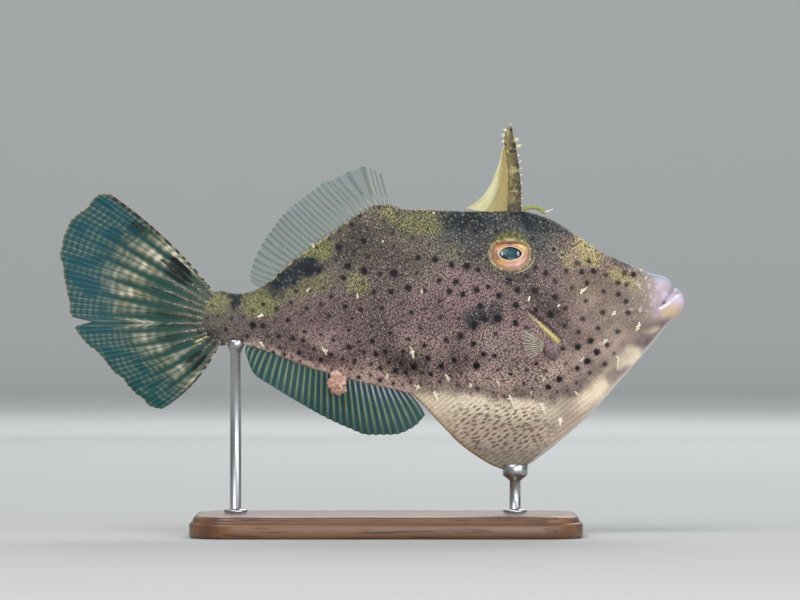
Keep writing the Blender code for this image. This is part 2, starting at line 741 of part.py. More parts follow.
def make_dorsal_spine():
    """The tall first spine, an upright taper of oval section standing over the eye."""
    rise, middle, long, wide = np.array(SPINE).T
    heights = np.linspace(0, rise[-1], 13)
    x, a, b = (smooth(np.column_stack([rise, k]))(heights) for k in (middle, long, wide))
    angle = np.linspace(0, 2 * np.pi, SPINE_SIDES, endpoint=False)
    foot = top_of(np.array([x[0]]))[0] + GAP
    rings = np.stack(
        [
            x[:, None] + a[:, None] * np.cos(angle),
            b[:, None] * np.sin(angle),
            np.repeat((foot + heights)[:, None], SPINE_SIDES, axis=1),
        ],
        axis=-1,
    )
    points, faces = skinned(rings)
    spine = new_object("dorsal_spine", points, faces, LOOKS["spine"], fish)
    barbs = []
    for way, rows in ((1, FRONT_BARBS), (-1, REAR_BARBS)):
        for number, (height, length, lean) in enumerate(rows):
            side = 1 if number % 2 else -1
            middle_x, half_x, half_y = (
                float(smooth(np.column_stack([rise, k]))(height)) for k in (middle, long, wide)
            )
            start = np.array([middle_x + 0.7 * way * half_x, 0.35 * side * half_y, foot + height])
            ahead = np.array([way * math.cos(math.radians(lean)), 0.25 * side, 0])
            ahead[2] = math.sin(math.radians(lean))
            reach = length + 0.3 * half_x
            path = [start, start + 0.5 * reach * ahead, start + reach * ahead + [0, 0, 0.1]]
            barbs.append(tapered(path, (0.36, 0.28, 0.12), LOOKS["spine"]))
    combine(spine, barbs, "UNION")
    return keep_largest(spine)


def make_spine_membrane():
    """The yellow web that ties the spine's rear edge to the back."""
    rise, middle, long, _ = np.array(SPINE).T
    spine_x = smooth(np.column_stack([rise, middle - long]))
    rear, front = MEMBRANE_FOOT

    def root(u):
        x = rear + (front - rear) * u
        return np.stack([x, top_of(x) + GAP], axis=-1)

    edge = along(
        [
            (25.4, 24.8), (28.1, 26.4), (30.8, 29.1), (32.2, 31.3), (33.5, 34.1),
            (34.9, 38.2), (35.4, 40.6),
        ]  # fmt: skip
    )

    def tip(u):
        """The free edge for three quarters of the way, and then down the back of the spine."""
        free = edge(np.minimum(u / 0.75, 1))
        height = np.clip(16.4 - (u - 0.75) / 0.25 * 15.4, 1.0, 16.4)
        on_spine = np.stack([spine_x(height) - GAP, top_of(38.8) + GAP + height], axis=-1)
        return np.where((u > 0.75)[:, None], on_spine, free)

    points, faces = fin_shell(
        root,
        tip,
        lambda u: 0 * u,
        lambda u, v: 0.25 * np.sin(6 * u) * v,
        lambda u, v: 0.5 - 0.2 * v,
        np.linspace(0, 1, 17),
        5,
    )
    return new_object("spine_membrane", points, faces, LOOKS["membrane"], fish)


def make_flesh():
    """The head, trunk and tail stalk as one body, parted by two thin walls, and the flap."""
    look = LOOKS["skin"]
    points, faces = flesh_shell(body_stations(), belly_of, BODY_ROWS)
    body = new_object("body", points, faces, look, fish)
    raised = tassels(TASSELS, look)
    for side in (-1, 1):
        path = [flank_at(x, z, side)[0] for x, z, _ in GILL_FOLD]
        raised.append(tapered(path, [row[2] for row in GILL_FOLD], look, 6))
    for strap in (FOREHEAD_STRAP, STRAP_TIP):
        path = [(x, 0, z) for x, z, _ in strap]
        raised.append(tapered(path, [row[2] for row in strap], look, 6))
    combine(body, raised, "UNION", "MANIFOLD")
    combine(body, [wall(GILL_LINE, look), wall(STALK_LINE, look)], "DIFFERENCE", "MANIFOLD")
    parts = pieces_of(body)[:3]
    bpy.data.objects.remove(body, do_unlink=True)
    parts.sort(key=lambda piece: piece[0][:, 0].mean())
    made = [
        new_object(name, points, faces, LOOKS["skin"], fish)
        for name, (points, faces) in zip(("tail_stalk", "trunk", "head"), parts)
    ]
    points, faces = flap_shell()
    flap = new_object("belly_flap", points, faces, LOOKS["flap"], fish)
    combine(flap, tassels(FLAP_TASSELS, LOOKS["flap"]), "UNION", "MANIFOLD")
    made.append(keep_largest(flap))
    return made


def make_head(head):
    """Lids, eye sockets, nostrils and the line of the mouth."""
    look = LOOKS["skin"]
    raised = []
    for side in (-1, 1):
        raised.append(ring(EYE_AT, LID_RADII, LID_HALF, side, look))
        for x, z, size in NOSTRILS:
            half = (NOSTRIL_RIM, NOSTRIL_RIM)
            raised.append(ring((x, z), (size, 0.8 * size), half, side, look, 9, 5))
    combine(head, raised, "UNION", "MANIFOLD")
    cutters = [eyeball("socket", side, look, GAP) for side in (-1, 1)]
    combine(head, cutters + [mouth_slot(look)], "DIFFERENCE", "MANIFOLD")
    return keep_largest(head)


def eyeball(name, side, look, room=0.0):
    """A flattened ball that sits in the head with its face turned along the skin."""
    foot, out = flank_at(*EYE_AT, side)
    radii = [radius + room for radius in EYE_RADII]
    ball = ellipsoid(radii, foot - EYE_DEPTH * out, look, name, 22, 10)
    ball.rotation_euler.x = math.atan2(side * out[2], side * out[1])
    return ball


def make_eyes():
    for name, side in (("eye_right", -1), ("eye_left", 1)):
        eyeball(name, side, LOOKS["eye"])


def make_trunk(trunk):
    """The fleshy lobe that each pectoral fin grows from, and the lump by the anal fin."""
    look = LOOKS["skin"]
    raised = [ellipsoid(LUMP_RADII, LUMP_AT, look, "lump", 12, 7)]
    for side in (-1, 1):
        foot, _ = flank_at(*PECTORAL_AT, side)
        raised.append(ellipsoid(PECTORAL_LOBE, foot, look, "lobe", 14, 8))
    combine(trunk, raised, "UNION", "MANIFOLD")
    return keep_largest(trunk)


def rounded_outline(length, width, steps=8):
    """A rectangle with round ends of a generous radius, as points round its edge."""
    radius = 0.42 * width
    corners = []
    for quarter, (sx, sy) in enumerate(((1, 1), (-1, 1), (-1, -1), (1, -1))):
        centre = np.array([sx * (length / 2 - radius), sy * (width / 2 - radius)])
        angle = np.linspace(0, np.pi / 2, steps + 1) + quarter * np.pi / 2
        corners.append(centre + radius * np.stack([np.cos(angle), np.sin(angle)], axis=1))
    return np.vstack(corners)


def make_base():
    """The flat base, with a softened edge above and below."""
    length, width, height = BASE_SIZE
    levels = [(0.0, 0.8), (0.8, 0.0), (height - 1.6, 0.0), (height - 0.5, 0.5), (height, 1.6)]
    rings = []
    for z, inset in levels:
        outline = rounded_outline(length - 2 * inset, width - 2 * inset)
        rings.append(np.column_stack([outline, np.full(len(outline), z)]))
    points, faces = skinned(np.array(rings))
    return new_object("stand_base", points, faces, LOOKS["wood"], None, (BASE_X, 0, 0))


def make_rod(name, x, saddle_radius, saddle_up, shell):
    """An upright rod with a foot ring below and a saddle above, cut to fit the flesh it holds."""
    bottom = BASE_SIZE[2] + GAP
    flesh = AXIS_HEIGHT + float(keel_of(np.array([x]))[0])
    levels = [
        (bottom, 3.2), (bottom + 0.8, 3.2), (bottom + 1.4, ROD_RADIUS),
        (flesh - 4.0, ROD_RADIUS), (flesh - 2.4, saddle_radius), (flesh + saddle_up, saddle_radius),
    ]  # fmt: skip
    angle = np.linspace(0, 2 * np.pi, 20, endpoint=False)
    rings = np.array(
        [[(r * math.cos(t), r * math.sin(t), z) for t in angle] for z, r in levels]
    )
    points, faces = skinned(rings)
    rod = new_object(name, points, faces, LOOKS["steel"], None, (x, 0, 0))
    points, faces = shell
    combine(rod, [new_object("cut", points, faces, LOOKS["steel"], fish)], "DIFFERENCE")
    return keep_largest(rod)


def make_stand():
    make_base()
    room = GAP + 0.1
    flap = flap_shell(room)
    stations = body_stations()
    stalk = flesh_shell(stations[stations < -20], belly_of, BODY_ROWS, room)
    make_rod("stand_rod_front", FRONT_ROD_X, 3.4, 2.0, flap)
    make_rod("stand_rod_rear", REAR_ROD_X, 2.3, 1.2, stalk)


def shade(angle=35):
    """Smooth shading with the sharp edges kept."""
    for obj in bpy.data.objects:
        if obj.type == "MESH":
            obj.data.shade_smooth()
            obj.data.set_sharp_from_angle(angle=math.radians(angle))


clear_scene()
LOOKS = {
    "skin": material("skin", (0.30, 0.23, 0.17), 0.6),
    "flap": material("flap", (0.52, 0.44, 0.34), 0.6),
    "fin": material("fin", (0.33, 0.38, 0.33), 0.4),
    "spine": material("spine", (0.36, 0.30, 0.12), 0.6),
    "membrane": material("membrane", (0.60, 0.56, 0.28), 0.5),
    "eye": material("eye", (0.10, 0.12, 0.15), 0.1),
    "wood": material("wood", (0.12, 0.07, 0.04), 0.4),
    "steel": material("steel", (0.6, 0.6, 0.6), 0.3, 1.0),
}
fish = bpy.data.objects.new("fish", None)
bpy.context.scene.collection.objects.link(fish)
fish.location = (0, 0, AXIS_HEIGHT * MM)

tail_stalk, trunk, head, belly_flap = make_flesh()
make_head(head)
make_eyes()
make_trunk(trunk)
make_tail_fin()
make_dorsal_fin()
make_anal_fin()
make_pectoral_fin("pectoral_fin_right", -1)
make_pectoral_fin("pectoral_fin_left", 1)
make_dorsal_spine()
make_spine_membrane()
make_stand()
shade()
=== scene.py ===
# %% [markdown]
# A strapweed filefish, life size, as a museum shows one: a painted model of the whole fish,
# held up by two short rods on a wooden base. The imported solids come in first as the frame, and
# every surface that shows is then made around them, in the same place and at the same size.

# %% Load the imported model
import math

import bpy
import numpy as np
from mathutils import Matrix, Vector


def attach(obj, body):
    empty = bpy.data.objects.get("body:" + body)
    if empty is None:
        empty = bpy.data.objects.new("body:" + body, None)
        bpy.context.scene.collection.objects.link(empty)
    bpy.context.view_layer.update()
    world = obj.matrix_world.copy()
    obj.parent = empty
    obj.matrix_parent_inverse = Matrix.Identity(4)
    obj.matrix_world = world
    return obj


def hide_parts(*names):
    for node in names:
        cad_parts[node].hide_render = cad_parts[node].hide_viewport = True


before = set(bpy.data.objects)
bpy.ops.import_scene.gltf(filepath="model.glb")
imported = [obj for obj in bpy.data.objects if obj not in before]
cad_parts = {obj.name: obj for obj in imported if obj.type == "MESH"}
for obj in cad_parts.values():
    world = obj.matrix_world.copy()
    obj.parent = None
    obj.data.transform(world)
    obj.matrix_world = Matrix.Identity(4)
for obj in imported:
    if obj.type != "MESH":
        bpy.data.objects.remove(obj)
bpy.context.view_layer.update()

# %% [markdown]
# All the shapes are worked out in millimetres around the fish: x runs to the snout, z up from
# the axis of the body, and y from the right side, which is negative, to the left. Blender wants
# metres above the floor, so one function moves finished points there. A photograph gives only
# outlines, so most curves here are lists of measured points with a smooth line through them.
# A plain polynomial would swing between the points. A line that never overshoots is safer.

# %% Curves through measured points
MM = 0.001
AXIS_HEIGHT = 64.0
SIDES = {"right": -1, "left": 1}


def smooth(points):
    """A curve z(x) through the points: cubic pieces whose slope at a point is the harmonic mean of
    the slopes beside it, or level where those differ in sign, so the curve never overshoots."""
    xs, zs = np.array(points, float).T
    steps, rises = np.diff(xs), np.diff(zs)
    chords = rises / steps
    same = chords[:-1] * chords[1:] > 0
    middle = np.where(same, 2 * chords[:-1] * chords[1:] / np.where(same, chords[:-1] + chords[1:], 1), 0)
    slopes = np.concatenate([chords[:1], middle, chords[-1:]])

    def curve(x):
        x = np.clip(np.asarray(x, float), xs[0], xs[-1])
        i = np.clip(np.searchsorted(xs, x) - 1, 0, len(steps) - 1)
        h = steps[i]
        t = (x - xs[i]) / h
        start = (1 + 2 * t) * (1 - t) ** 2 * zs[i] + t * (1 - t) ** 2 * h * slopes[i]
        end = t * t * (3 - 2 * t) * zs[i + 1] + t * t * (t - 1) * h * slopes[i + 1]
        return start + end

    return curve


def along(points):
    """A path through the points, as a function of the share of its length from 0 to 1: each
    coordinate is a smooth curve of the distance travelled."""
    points = np.array(points, float)
    steps = np.linalg.norm(np.diff(points[:, :2], axis=0), axis=1)
    travelled = np.concatenate([[0], np.cumsum(steps)]) / steps.sum()
    curves = [smooth(list(zip(travelled, column))) for column in points.T]
    return lambda u: np.stack([curve(u) for curve in curves], axis=-1)


def ease(low, high, value):
    """0 below low, 1 above high, and an S-shaped blend, 3t2 - 2t3, between them."""
    t = np.clip((np.asarray(value, float) - low) / (high - low), 0, 1)
    return t * t * (3 - 2 * t)


def window(value, low, full, fading, high):
    """1 from full to fading, 0 below low and above high, with S-shaped blends between them."""
    return ease(low, full, value) * ease(high, fading, value)


def bell(offset, width):
    """A bell curve: 1 where offset is 0, and 0.37 where offset is one width."""
    return np.exp(-(offset / width) ** 2)


def turned(x, z, lean):
    """How far a place lies along a line through the middle that leans by an angle, and how far to
    its left: x cos + z sin, and z cos - x sin."""
    return x * math.cos(lean) + z * math.sin(lean), z * math.cos(lean) - x * math.sin(lean)


def ring_angles(around):
    """The angles of the points of a ring."""
    return np.arange(around) * 2 * math.pi / around


def noise(x, z, size, seed):
    """Soft random hills from -1 to 1: random numbers on a lattice of the given size in mm, blended
    between lattice points with an S-shaped weight."""
    table = np.random.default_rng(seed).uniform(-1, 1, (64, 64))
    gx, gz = x / size, z / size
    ix, iz = np.floor(gx).astype(int), np.floor(gz).astype(int)
    tx, tz = ease(0, 1, gx - ix), ease(0, 1, gz - iz)
    low = table[ix % 64, iz % 64] * (1 - tx) + table[(ix + 1) % 64, iz % 64] * tx
    high = table[ix % 64, (iz + 1) % 64] * (1 - tx) + table[(ix + 1) % 64, (iz + 1) % 64] * tx
    return low * (1 - tz) + high * tz


def beside(x, z, path):
    """For every point of the side view: how far along the path its nearest place is, from 0 to 1,
    and how far beside the path the point lies, positive to the left of the path's direction."""
    path = np.array(path, float)
    steps = np.diff(path, axis=0)
    lengths = np.linalg.norm(steps, axis=1)
    travelled = np.concatenate([[0], np.cumsum(lengths)])
    nearest, share, side = np.full(np.shape(x), 1e9), np.zeros(np.shape(x)), np.zeros(np.shape(x))
    for a, step, length, start in zip(path, steps, lengths, travelled):
        dx, dz = x - a[0], z - a[1]
        t = np.clip((dx * step[0] + dz * step[1]) / length**2, 0, 1)
        away = np.hypot(dx - t * step[0], dz - t * step[1])
        closer = away < nearest
        nearest = np.where(closer, away, nearest)
        share = np.where(closer, (start + t * length) / travelled[-1], share)
        side = np.where(closer, np.sign(dz * step[0] - dx * step[1]) * away, side)
    return share, side


# %% [markdown]
# Every piece here is a closed skin that can be drawn as a stack of rings, from a fin to a rod. A
# ring has the same number of points everywhere, so a grid of four-sided faces joins one ring to
# the next, and each end is zipped up from its two halves. Modifiers or primitives could make some of
# the pieces, but one rule for all keeps them closed, and the sign of the volume tells which
# way the faces point.

# %% Grids of rings into closed meshes
def linked(name, data):
    """An object of the scene that shows a mesh, a light or a camera."""
    obj = bpy.data.objects.new(name, data)
    bpy.context.scene.collection.objects.link(obj)
    return obj


def rings_shell(rings, **marks):
    """Vertices and faces of a closed shell: rings is (number of rings, points in a ring, 3), faces
    join neighbours round and along, and point i of an end ring is zipped to the point opposite it
    in the list. marks are values per point, such as colours, kept beside the shell."""
    count, around = rings.shape[:2]
    index = np.arange(count * around).reshape(count, around)
    after = np.roll(index, -1, axis=1)
    sides = np.stack([index[:-1], after[:-1], after[1:], index[1:]], axis=-1).reshape(-1, 4)
    half = around // 2
    near, far = np.arange(half - 1), around - 1 - np.arange(half - 1)
    first = np.stack([index[0, near], index[0, far], index[0, far - 1], index[0, near + 1]], axis=-1)
    last = np.stack([index[-1, near], index[-1, near + 1], index[-1, far - 1], index[-1, far]], axis=-1)
    points, faces = rings.reshape(-1, 3), np.concatenate([sides, first, last])
    a, b, c, d = (points[faces[:, k]] for k in range(4))
    volume = np.einsum("ij,ij->i", a, np.cross(b, c) + np.cross(c, d)).sum()
    if volume < 0:
        faces = faces[:, ::-1]
    flat = {name: np.asarray(mark).reshape(count * around, -1) for name, mark in marks.items()}
    return points, faces, flat


def joined(shells):
    """Several shells as one: their points one after the other, and the faces' numbers moved on."""
    starts = np.cumsum([0] + [len(points) for points, _, _ in shells[:-1]])
    points = np.concatenate([points for points, _, _ in shells])
    faces = np.concatenate([faces + start for (_, faces, _), start in zip(shells, starts)])
    names = shells[0][2]
    return points, faces, {name: np.concatenate([marks[name] for _, _, marks in shells]) for name in names}


def piece(name, shell, finish, replaces=()):
    """A piece of the model from a shell in fish millimetres: its points go to metres above the
    floor, its marks become point attributes, and it rides on the one body that there is."""
    points, faces, marks = shell
    placed = (points + [0, 0, AXIS_HEIGHT]) * MM
    mesh = bpy.data.meshes.new(name)
    mesh.from_pydata(placed, [], faces)
    for mark, values in marks.items():
        wide = values.shape[1] > 1
        attribute = mesh.attributes.new(mark, "FLOAT_COLOR" if wide else "FLOAT", "POINT")
        if wide:
            values = np.concatenate([values, np.ones((len(values), 1))], axis=1)
        attribute.data.foreach_set("color" if wide else "value", values.ravel().astype(np.float32))
    mesh.polygons.foreach_set("use_smooth", np.ones(len(faces), bool))
    mesh.materials.append(finish)
    mesh.update()
    obj = linked(name, mesh)
    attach(obj, "root")
    if replaces:
        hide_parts(*replaces)
    low, high = points.min(axis=0).round(1), points.max(axis=0).round(1)
    print(f"{name}: {len(points)} points, {2 * len(faces)} triangles, from {low} to {high} mm")
    return obj


# %% [markdown]
# A finish is a material made of nodes. Written out as links, even a short sum takes many lines,
# so a small class lets Python's own signs add the Math nodes: mask * 2 + 1 becomes two of them.
# Colours can't go that way, because a Math node turns them grey, and they have a Mix of their own.

# %% Shader maths and finishes
class Number:
    """A number that varies over a surface: it wraps a socket, and each sign adds a Math node."""

    def __init__(self, finish, socket):
        self.finish, self.socket = finish, socket

    def maths(self, operation, first, second=0.0):
        """One Math node on two values, each a number or a Number."""
        return self.finish.node("ShaderNodeMath", {"operation": operation}, {0: first, 1: second})

    def __add__(self, other):
        return self.maths("ADD", self, other)

    def __sub__(self, other):
        return self.maths("SUBTRACT", self, other)

    def __rsub__(self, other):
        return self.maths("SUBTRACT", other, self)

    def __mul__(self, other):
        return self.maths("MULTIPLY", self, other)

    __radd__, __rmul__ = __add__, __mul__

    def sine(self):
        return self.maths("SINE", self)

    def least(self, other):
        return self.maths("MINIMUM", self, other)

    def ease(self, low, high):
        """0 at low, 1 at high and S-shaped between; low may be the larger one."""
        sockets = {"Value": self, "From Min": low, "From Max": high}
        return self.finish.node("ShaderNodeMapRange", {"interpolation_type": "SMOOTHSTEP"}, sockets)


def linear(red, green, blue):
    """A colour as Blender wants it, from the 0 to 255 numbers that a screen shows: each is brought
    to 0 to 1 and through the screen's curve, a power of 2.4 with a straight foot."""
    shown = np.array([red, green, blue], float) / 255
    return np.where(shown <= 0.04045, shown / 12.92, ((shown + 0.055) / 1.055) ** 2.4)


class Finish:
    """A material with a Principled shader. fixed sets sockets that are the same all over."""

    def __init__(self, name, **fixed):
        self.material = bpy.data.materials.new(name)
        self.material.use_nodes = True
        self.tree = self.material.node_tree
        self.shader = self.tree.nodes["Principled BSDF"]
        for socket, value in fixed.items():
            self.shader.inputs[socket.replace("_", " ")].default_value = value

    def node(self, kind, settings=None, inputs=None, output=0):
        """One node of any type: its settings first, then a value or a link for each socket."""
        made = self.tree.nodes.new(kind)
        for name, value in (settings or {}).items():
            setattr(made, name, value)
        for name, value in (inputs or {}).items():
            self.feed(made.inputs[name], value)
        return Number(self, made.outputs[output])

    def feed(self, socket, value):
        """Links a Number to a socket, or sets the socket to a plain value."""
        if isinstance(value, Number):
            self.tree.links.new(value.socket, socket)
        else:
            socket.default_value = value

    def colour(self, red, green, blue):
        """A screen colour as a socket wants it, with full cover."""
        return (*linear(red, green, blue), 1)

    def mark(self, name):
        """A number kept at each point of the mesh."""
        return self.node("ShaderNodeAttribute", {"attribute_name": name}, output=2)

    def paint(self, name):
        """A colour kept at each point of the mesh."""
        return self.node("ShaderNodeAttribute", {"attribute_name": name})

    def place(self, scale=(1, 1, 1), turn=(0, 0, 0)):
        """The point's own place on the object, in metres, turned and scaled."""
        where = self.node("ShaderNodeTexCoord", output=3)
        return self.node("ShaderNodeMapping", {}, {"Vector": where, "Rotation": turn, "Scale": scale})

    def axes(self):
        """The x, y and z of the point, in metres, as three numbers."""
        where = self.node("ShaderNodeTexCoord", output=3)
        split = self.node("ShaderNodeSeparateXYZ", {}, {0: where})
        return [Number(self, out) for out in split.socket.node.outputs]

    def clouds(self, scale, detail=3.0, where=None):
        """Fractal noise from 0 to 1. scale is in waves per metre."""
        where = where or self.place()
        return self.node("ShaderNodeTexNoise", {}, {"Vector": where, "Scale": scale, "Detail": detail})

    def grains(self, scale, where=None, evenness=1.0):
        """The distance from the nearest of many scattered points, scale of them to a metre."""
        where = where or self.place()
        inputs = {"Vector": where, "Scale": scale, "Randomness": evenness}
        return self.node("ShaderNodeTexVoronoi", {}, inputs)

    def mix(self, share, first, second, way="MIX"):
        """A blend of two colours."""
        settings = {"data_type": "RGBA", "blend_type": way}
        return self.node("ShaderNodeMix", settings, {0: share, 6: first, 7: second}, output=2)

    def bump(self, height, distance, strength=1.0):
        """Small relief: height from 0 to 1 stands distance metres high, by its light alone."""
        inputs = {"Height": height, "Distance": distance, "Strength": strength}
        self.feed(self.shader.inputs["Normal"], self.node("ShaderNodeBump", {}, inputs))

    def gives(self, **sockets):
        """Feeds the shader's sockets and hands over the finished material."""
        for socket, value in sockets.items():
            self.feed(self.shader.inputs[socket.replace("_", " ")], value)
        return self.material


# %% [markdown]
# The body is one hide over bone and muscle: head, trunk, tail stalk and the hanging flap of the
# belly run into each other without a seam. It could be sculpted or lofted from sections. Here the
# side view is exact, so the hide is a height map on both sides of the middle plane: for each
# place of the side view a formula gives how far the flesh stands out.

# %% The outline of the body
SNOUT_TIP = 85.0
BACK = [
    (-40.6, 2.6), (-36.5, 1.8), (-33.0, 2.3), (-29.5, 3.8), (-22.1, 10.2), (-11.3, 17.9), (-3.1, 23.5),
    (1.8, 25.8), (5.6, 25.8), (9.1, 24.7), (18.6, 24.5), (29.5, 24.0), (40.3, 24.2), (47.9, 22.3),
    (55.3, 17.9), (62.1, 13.4), (70.2, 9.6), (75.6, 7.3), (78.6, 6.6), (80.4, 6.0), (81.4, 5.0),
    (82.0, 3.9), (82.6, 3.1), (83.4, 2.9), (84.1, 2.2), (84.7, 1.0), (85.0, -0.6),
]
KEEL = [
    (-40.6, -12.4), (-36.8, -11.9), (-33.0, -12.6), (-26.2, -14.8), (-18.1, -17.9), (-9.9, -20.4),
    (-1.8, -22.5), (6.4, -24.4), (10.7, -25.7), (13.2, -27.7), (16.4, -31.2), (20.0, -35.0),
    (23.5, -38.6), (28.1, -42.1), (33.5, -45.2), (38.4, -46.6), (43.0, -44.4), (47.9, -40.9),
    (52.5, -37.2), (58.0, -32.3), (62.1, -28.1), (67.5, -22.0), (72.9, -15.8), (77.0, -11.0),
    (80.5, -6.6), (82.7, -4.8), (84.0, -3.4), (84.7, -2.0), (85.0, -0.6),
]
FLAP_REAR, FLAP_FRONT = 10.7, 77.0
# The upper edge of the flap, where the thick flesh of the body ends.
ABDOMEN = [
    (10.7, -25.7), (18.6, -26.1), (26.7, -26.6), (34.9, -27.4), (43.0, -28.0), (51.2, -28.0),
    (58.0, -26.4), (63.4, -23.3), (68.8, -18.4), (74.3, -13.0), (77.0, -11.0),
]
# The greatest half thickness at each x, and the height at which it lies.
HALF_WIDTH = [
    (-47.9, 1.9), (-44, 2.6), (-36, 3.4), (-28, 4.1), (-18, 5.4), (-8, 6.9), (2, 8.0), (14, 8.9),
    (26, 9.5), (38, 9.6), (48, 9.1), (58, 8.0), (66, 6.7), (73, 5.4), (78, 4.5), (81, 3.9), (83, 3.2),
    (84.3, 2.2), (85, 1.0),
]
WIDEST_AT = [
    (-47.9, -4.9), (-30, -4.6), (-10, -1.5), (10, 0), (35, 0.5), (50, -1), (65, -2.5), (76, -2), (85, -0.6),
]
TAIL_END, TAIL_ROUND_FROM, TAIL_MID = -47.9, -40.6, -4.9
EDGE_HALF, TAIL_EDGE_HALF, RIDGE_HALF = 0.45, 0.8, 1.25
BONE_EXTRA, BONE_REACH = 0.9, 2.6
back_line, keel_line, abdomen_line = smooth(BACK), smooth(KEEL), smooth(ABDOMEN)
half_width_line, widest_line = smooth(HALF_WIDTH), smooth(WIDEST_AT)


def tail_round(x):
    """1 over the body, falling to 0 at the end of the tail stalk as a quarter circle does."""
    t = np.clip((TAIL_ROUND_FROM - x) / (TAIL_ROUND_FROM - TAIL_END), 0, 1)
    return np.sqrt(1 - t * t)


def top_of(x):
    """The height of the back's edge, drawn in towards the middle where the tail stalk ends."""
    return TAIL_MID + (back_line(x) - TAIL_MID) * tail_round(x)


def keel_of(x):
    """The height of the belly's edge, with the flap, drawn in likewise."""
    return TAIL_MID + (keel_line(x) - TAIL_MID) * tail_round(x)


def belly_of(x):
    """The lower edge of the thick flesh: the abdomen where the thin flap hangs below it."""
    inside = (x > FLAP_REAR) & (x < FLAP_FRONT)
    return np.where(inside, np.maximum(abdomen_line(x), keel_of(x)), keel_of(x))


def steepness(line, x):
    """How much of an upright distance counts across a sloping edge: 1 over root of 1 + slope squared."""
    rise = line(x + 0.5) - line(x - 0.5)
    return 1 / np.sqrt(1 + rise * rise)


def edge_half(x):
    """Half the thickness of the rim: thicker at the tail and thin at the snout."""
    tail = np.clip((x - TAIL_END) / 10, 0, 1)
    snout = np.clip((SNOUT_TIP - x) / 3, 0, 1)
    return (TAIL_EDGE_HALF + (EDGE_HALF - TAIL_EDGE_HALF) * tail) * (0.5 + 0.5 * snout)


print("depth from back to keel at x = 38, in mm:", round(float(top_of(38.0) - keel_of(38.0)), 1))

# %% [markdown]
# The cross section is a pointed lens with a thin keel above and below it. The cube root of the
# sum of cubes joins the two without a crease, because the larger one wins and the smaller one
# only rounds the corner between them. The rim itself is a half circle, so the edge is no knife.

# %% How far the flesh stands out
MOUTH_CORNER, MOUTH_FRONT = np.array([78.6, -1.6]), np.array([81.7, 2.5])
LIP_HEIGHT, LIP_OFFSET = 0.6, 1.0
LOWER_LIP = [(77.6, -2.6), (80.5, -1.0), (82.9, 1.2)]


def mouth_distance(x, z):
    """How far along the mouth's line a point is, from corner to front, and how far beside it."""
    run = MOUTH_FRONT - MOUTH_CORNER
    share = ((x - MOUTH_CORNER[0]) * run[0] + (z - MOUTH_CORNER[1]) * run[1]) / (run @ run)
    away = ((x - MOUTH_CORNER[0]) * run[1] - (z - MOUTH_CORNER[1]) * run[0]) / np.hypot(*run)
    return share, away


def edge_distances(x, z):
    """How far a place lies below the back and above the keel, measured square to those edges."""
    return (top_of(x) - z) * steepness(top_of, x), (z - keel_of(x)) * steepness(keel_of, x)


def half_width(x, z):
    """Half the thickness at a place of the side view, in mm: a lens, (1 - t^2.3)^0.72 from its
    widest line, with both powers nearer to each other over the flap, and a ridge along the edges.
    They are joined as the cube root of the sum of their cubes. The lips are bells beside the mouth."""
    top, low, wide = top_of(x), belly_of(x), widest_line(x)
    wide = np.clip(wide, low + 0.3 * (top - low), top - 0.3 * (top - low))
    up = np.clip((z - wide) / np.maximum(top - wide, 1e-6), 0, 1)
    down = np.clip((wide - z) / np.maximum(wide - low, 1e-6), 0, 1)
    gentle = 0.23 * ease(FLAP_REAR, FLAP_REAR + 12, x) * ease(FLAP_FRONT, FLAP_FRONT - 14, x) * (down > 0)
    lens = half_width_line(x) * (1 - np.maximum(up, down) ** (2.3 - gentle)) ** (0.72 + gentle)
    lens = lens * np.sqrt(np.maximum(tail_round(x), 0.05))
    from_top, from_keel = edge_distances(x, z)
    front = np.clip((x - 34) / 10, 0, 1) * np.clip((SNOUT_TIP - x) / 8, 0, 1)
    sheet = np.minimum(RIDGE_HALF + BONE_EXTRA * front * bell(from_keel, BONE_REACH), half_width_line(x))
    off = np.clip(np.minimum(from_top, from_keel) / (1.5 * sheet), 0, 1)
    ridge = edge_half(x) + (sheet - edge_half(x)) * np.sqrt(1 - (1 - off) ** 2)
    share, away = mouth_distance(x, z)
    on_lip = np.clip(share + 0.3, 0, 1) * np.clip(1.6 - share, 0, 1)
    return np.cbrt(lens**3 + ridge**3) + LIP_HEIGHT * on_lip * bell(np.abs(away) - LIP_OFFSET, 0.6)


def flank_at(x, z, side):
    """The point of the skin at a place of the side view, on one side, and the way out of it."""
    y = side * half_width(x, z)
    slope_x = half_width(x + 0.2, z) - half_width(x - 0.2, z)
    slope_z = half_width(x, z + 0.2) - half_width(x, z - 0.2)
    out = np.stack([-slope_x / 0.4, np.full(np.shape(x), float(side)), -slope_z / 0.4], axis=-1)
    return np.stack([x, y, z], axis=-1), out / np.linalg.norm(out, axis=-1, keepdims=True)


print("thickness at the root of the flap, in mm:", round(2 * float(half_width(38.0, -27.0)), 1))

# %% [markdown]
# The face has features that the eye looks for first: the ring of lid around the eye, two
# nostrils, lips, and the slanting gill slit with its bright fold. They could be cut with
# Booleans, but on a height map each one is a small hill or dent added to the height, and the
# skin stays one closed sheet. What is finer than the sheet's grid is left to the finish.

# %% Relief of the skin
EYE_AT, EYE_HALF = (37.55, 12.05), (5.25, 3.95)
BROW_AT, BROW_HALF = (37.6, 17.0), (4.9, 1.8)
# Each nostril is (x, z, radius).
NOSTRILS = [(49.3, 13.8, 0.85), (51.6, 12.2, 0.7)]
GILL_SLIT = [(41.2, -1.9), (44.4, -4.4), (47.6, -7.0), (50.2, -9.6), (51.6, -12.4)]
GILL_FOLD = [(41.4, -2.9), (44.4, -5.4), (48.0, -8.8), (51.0, -11.6)]
RIB_LEAN, RIB_SPACING = math.radians(38), 1.15
STALK_LINE = [(-31.4, 8), (-32.6, -4.9), (-31.4, -18)]
BREAST_FOLD = [(2, 6), (3, 0), (4.6, -7), (8, -16), (13, -26)]


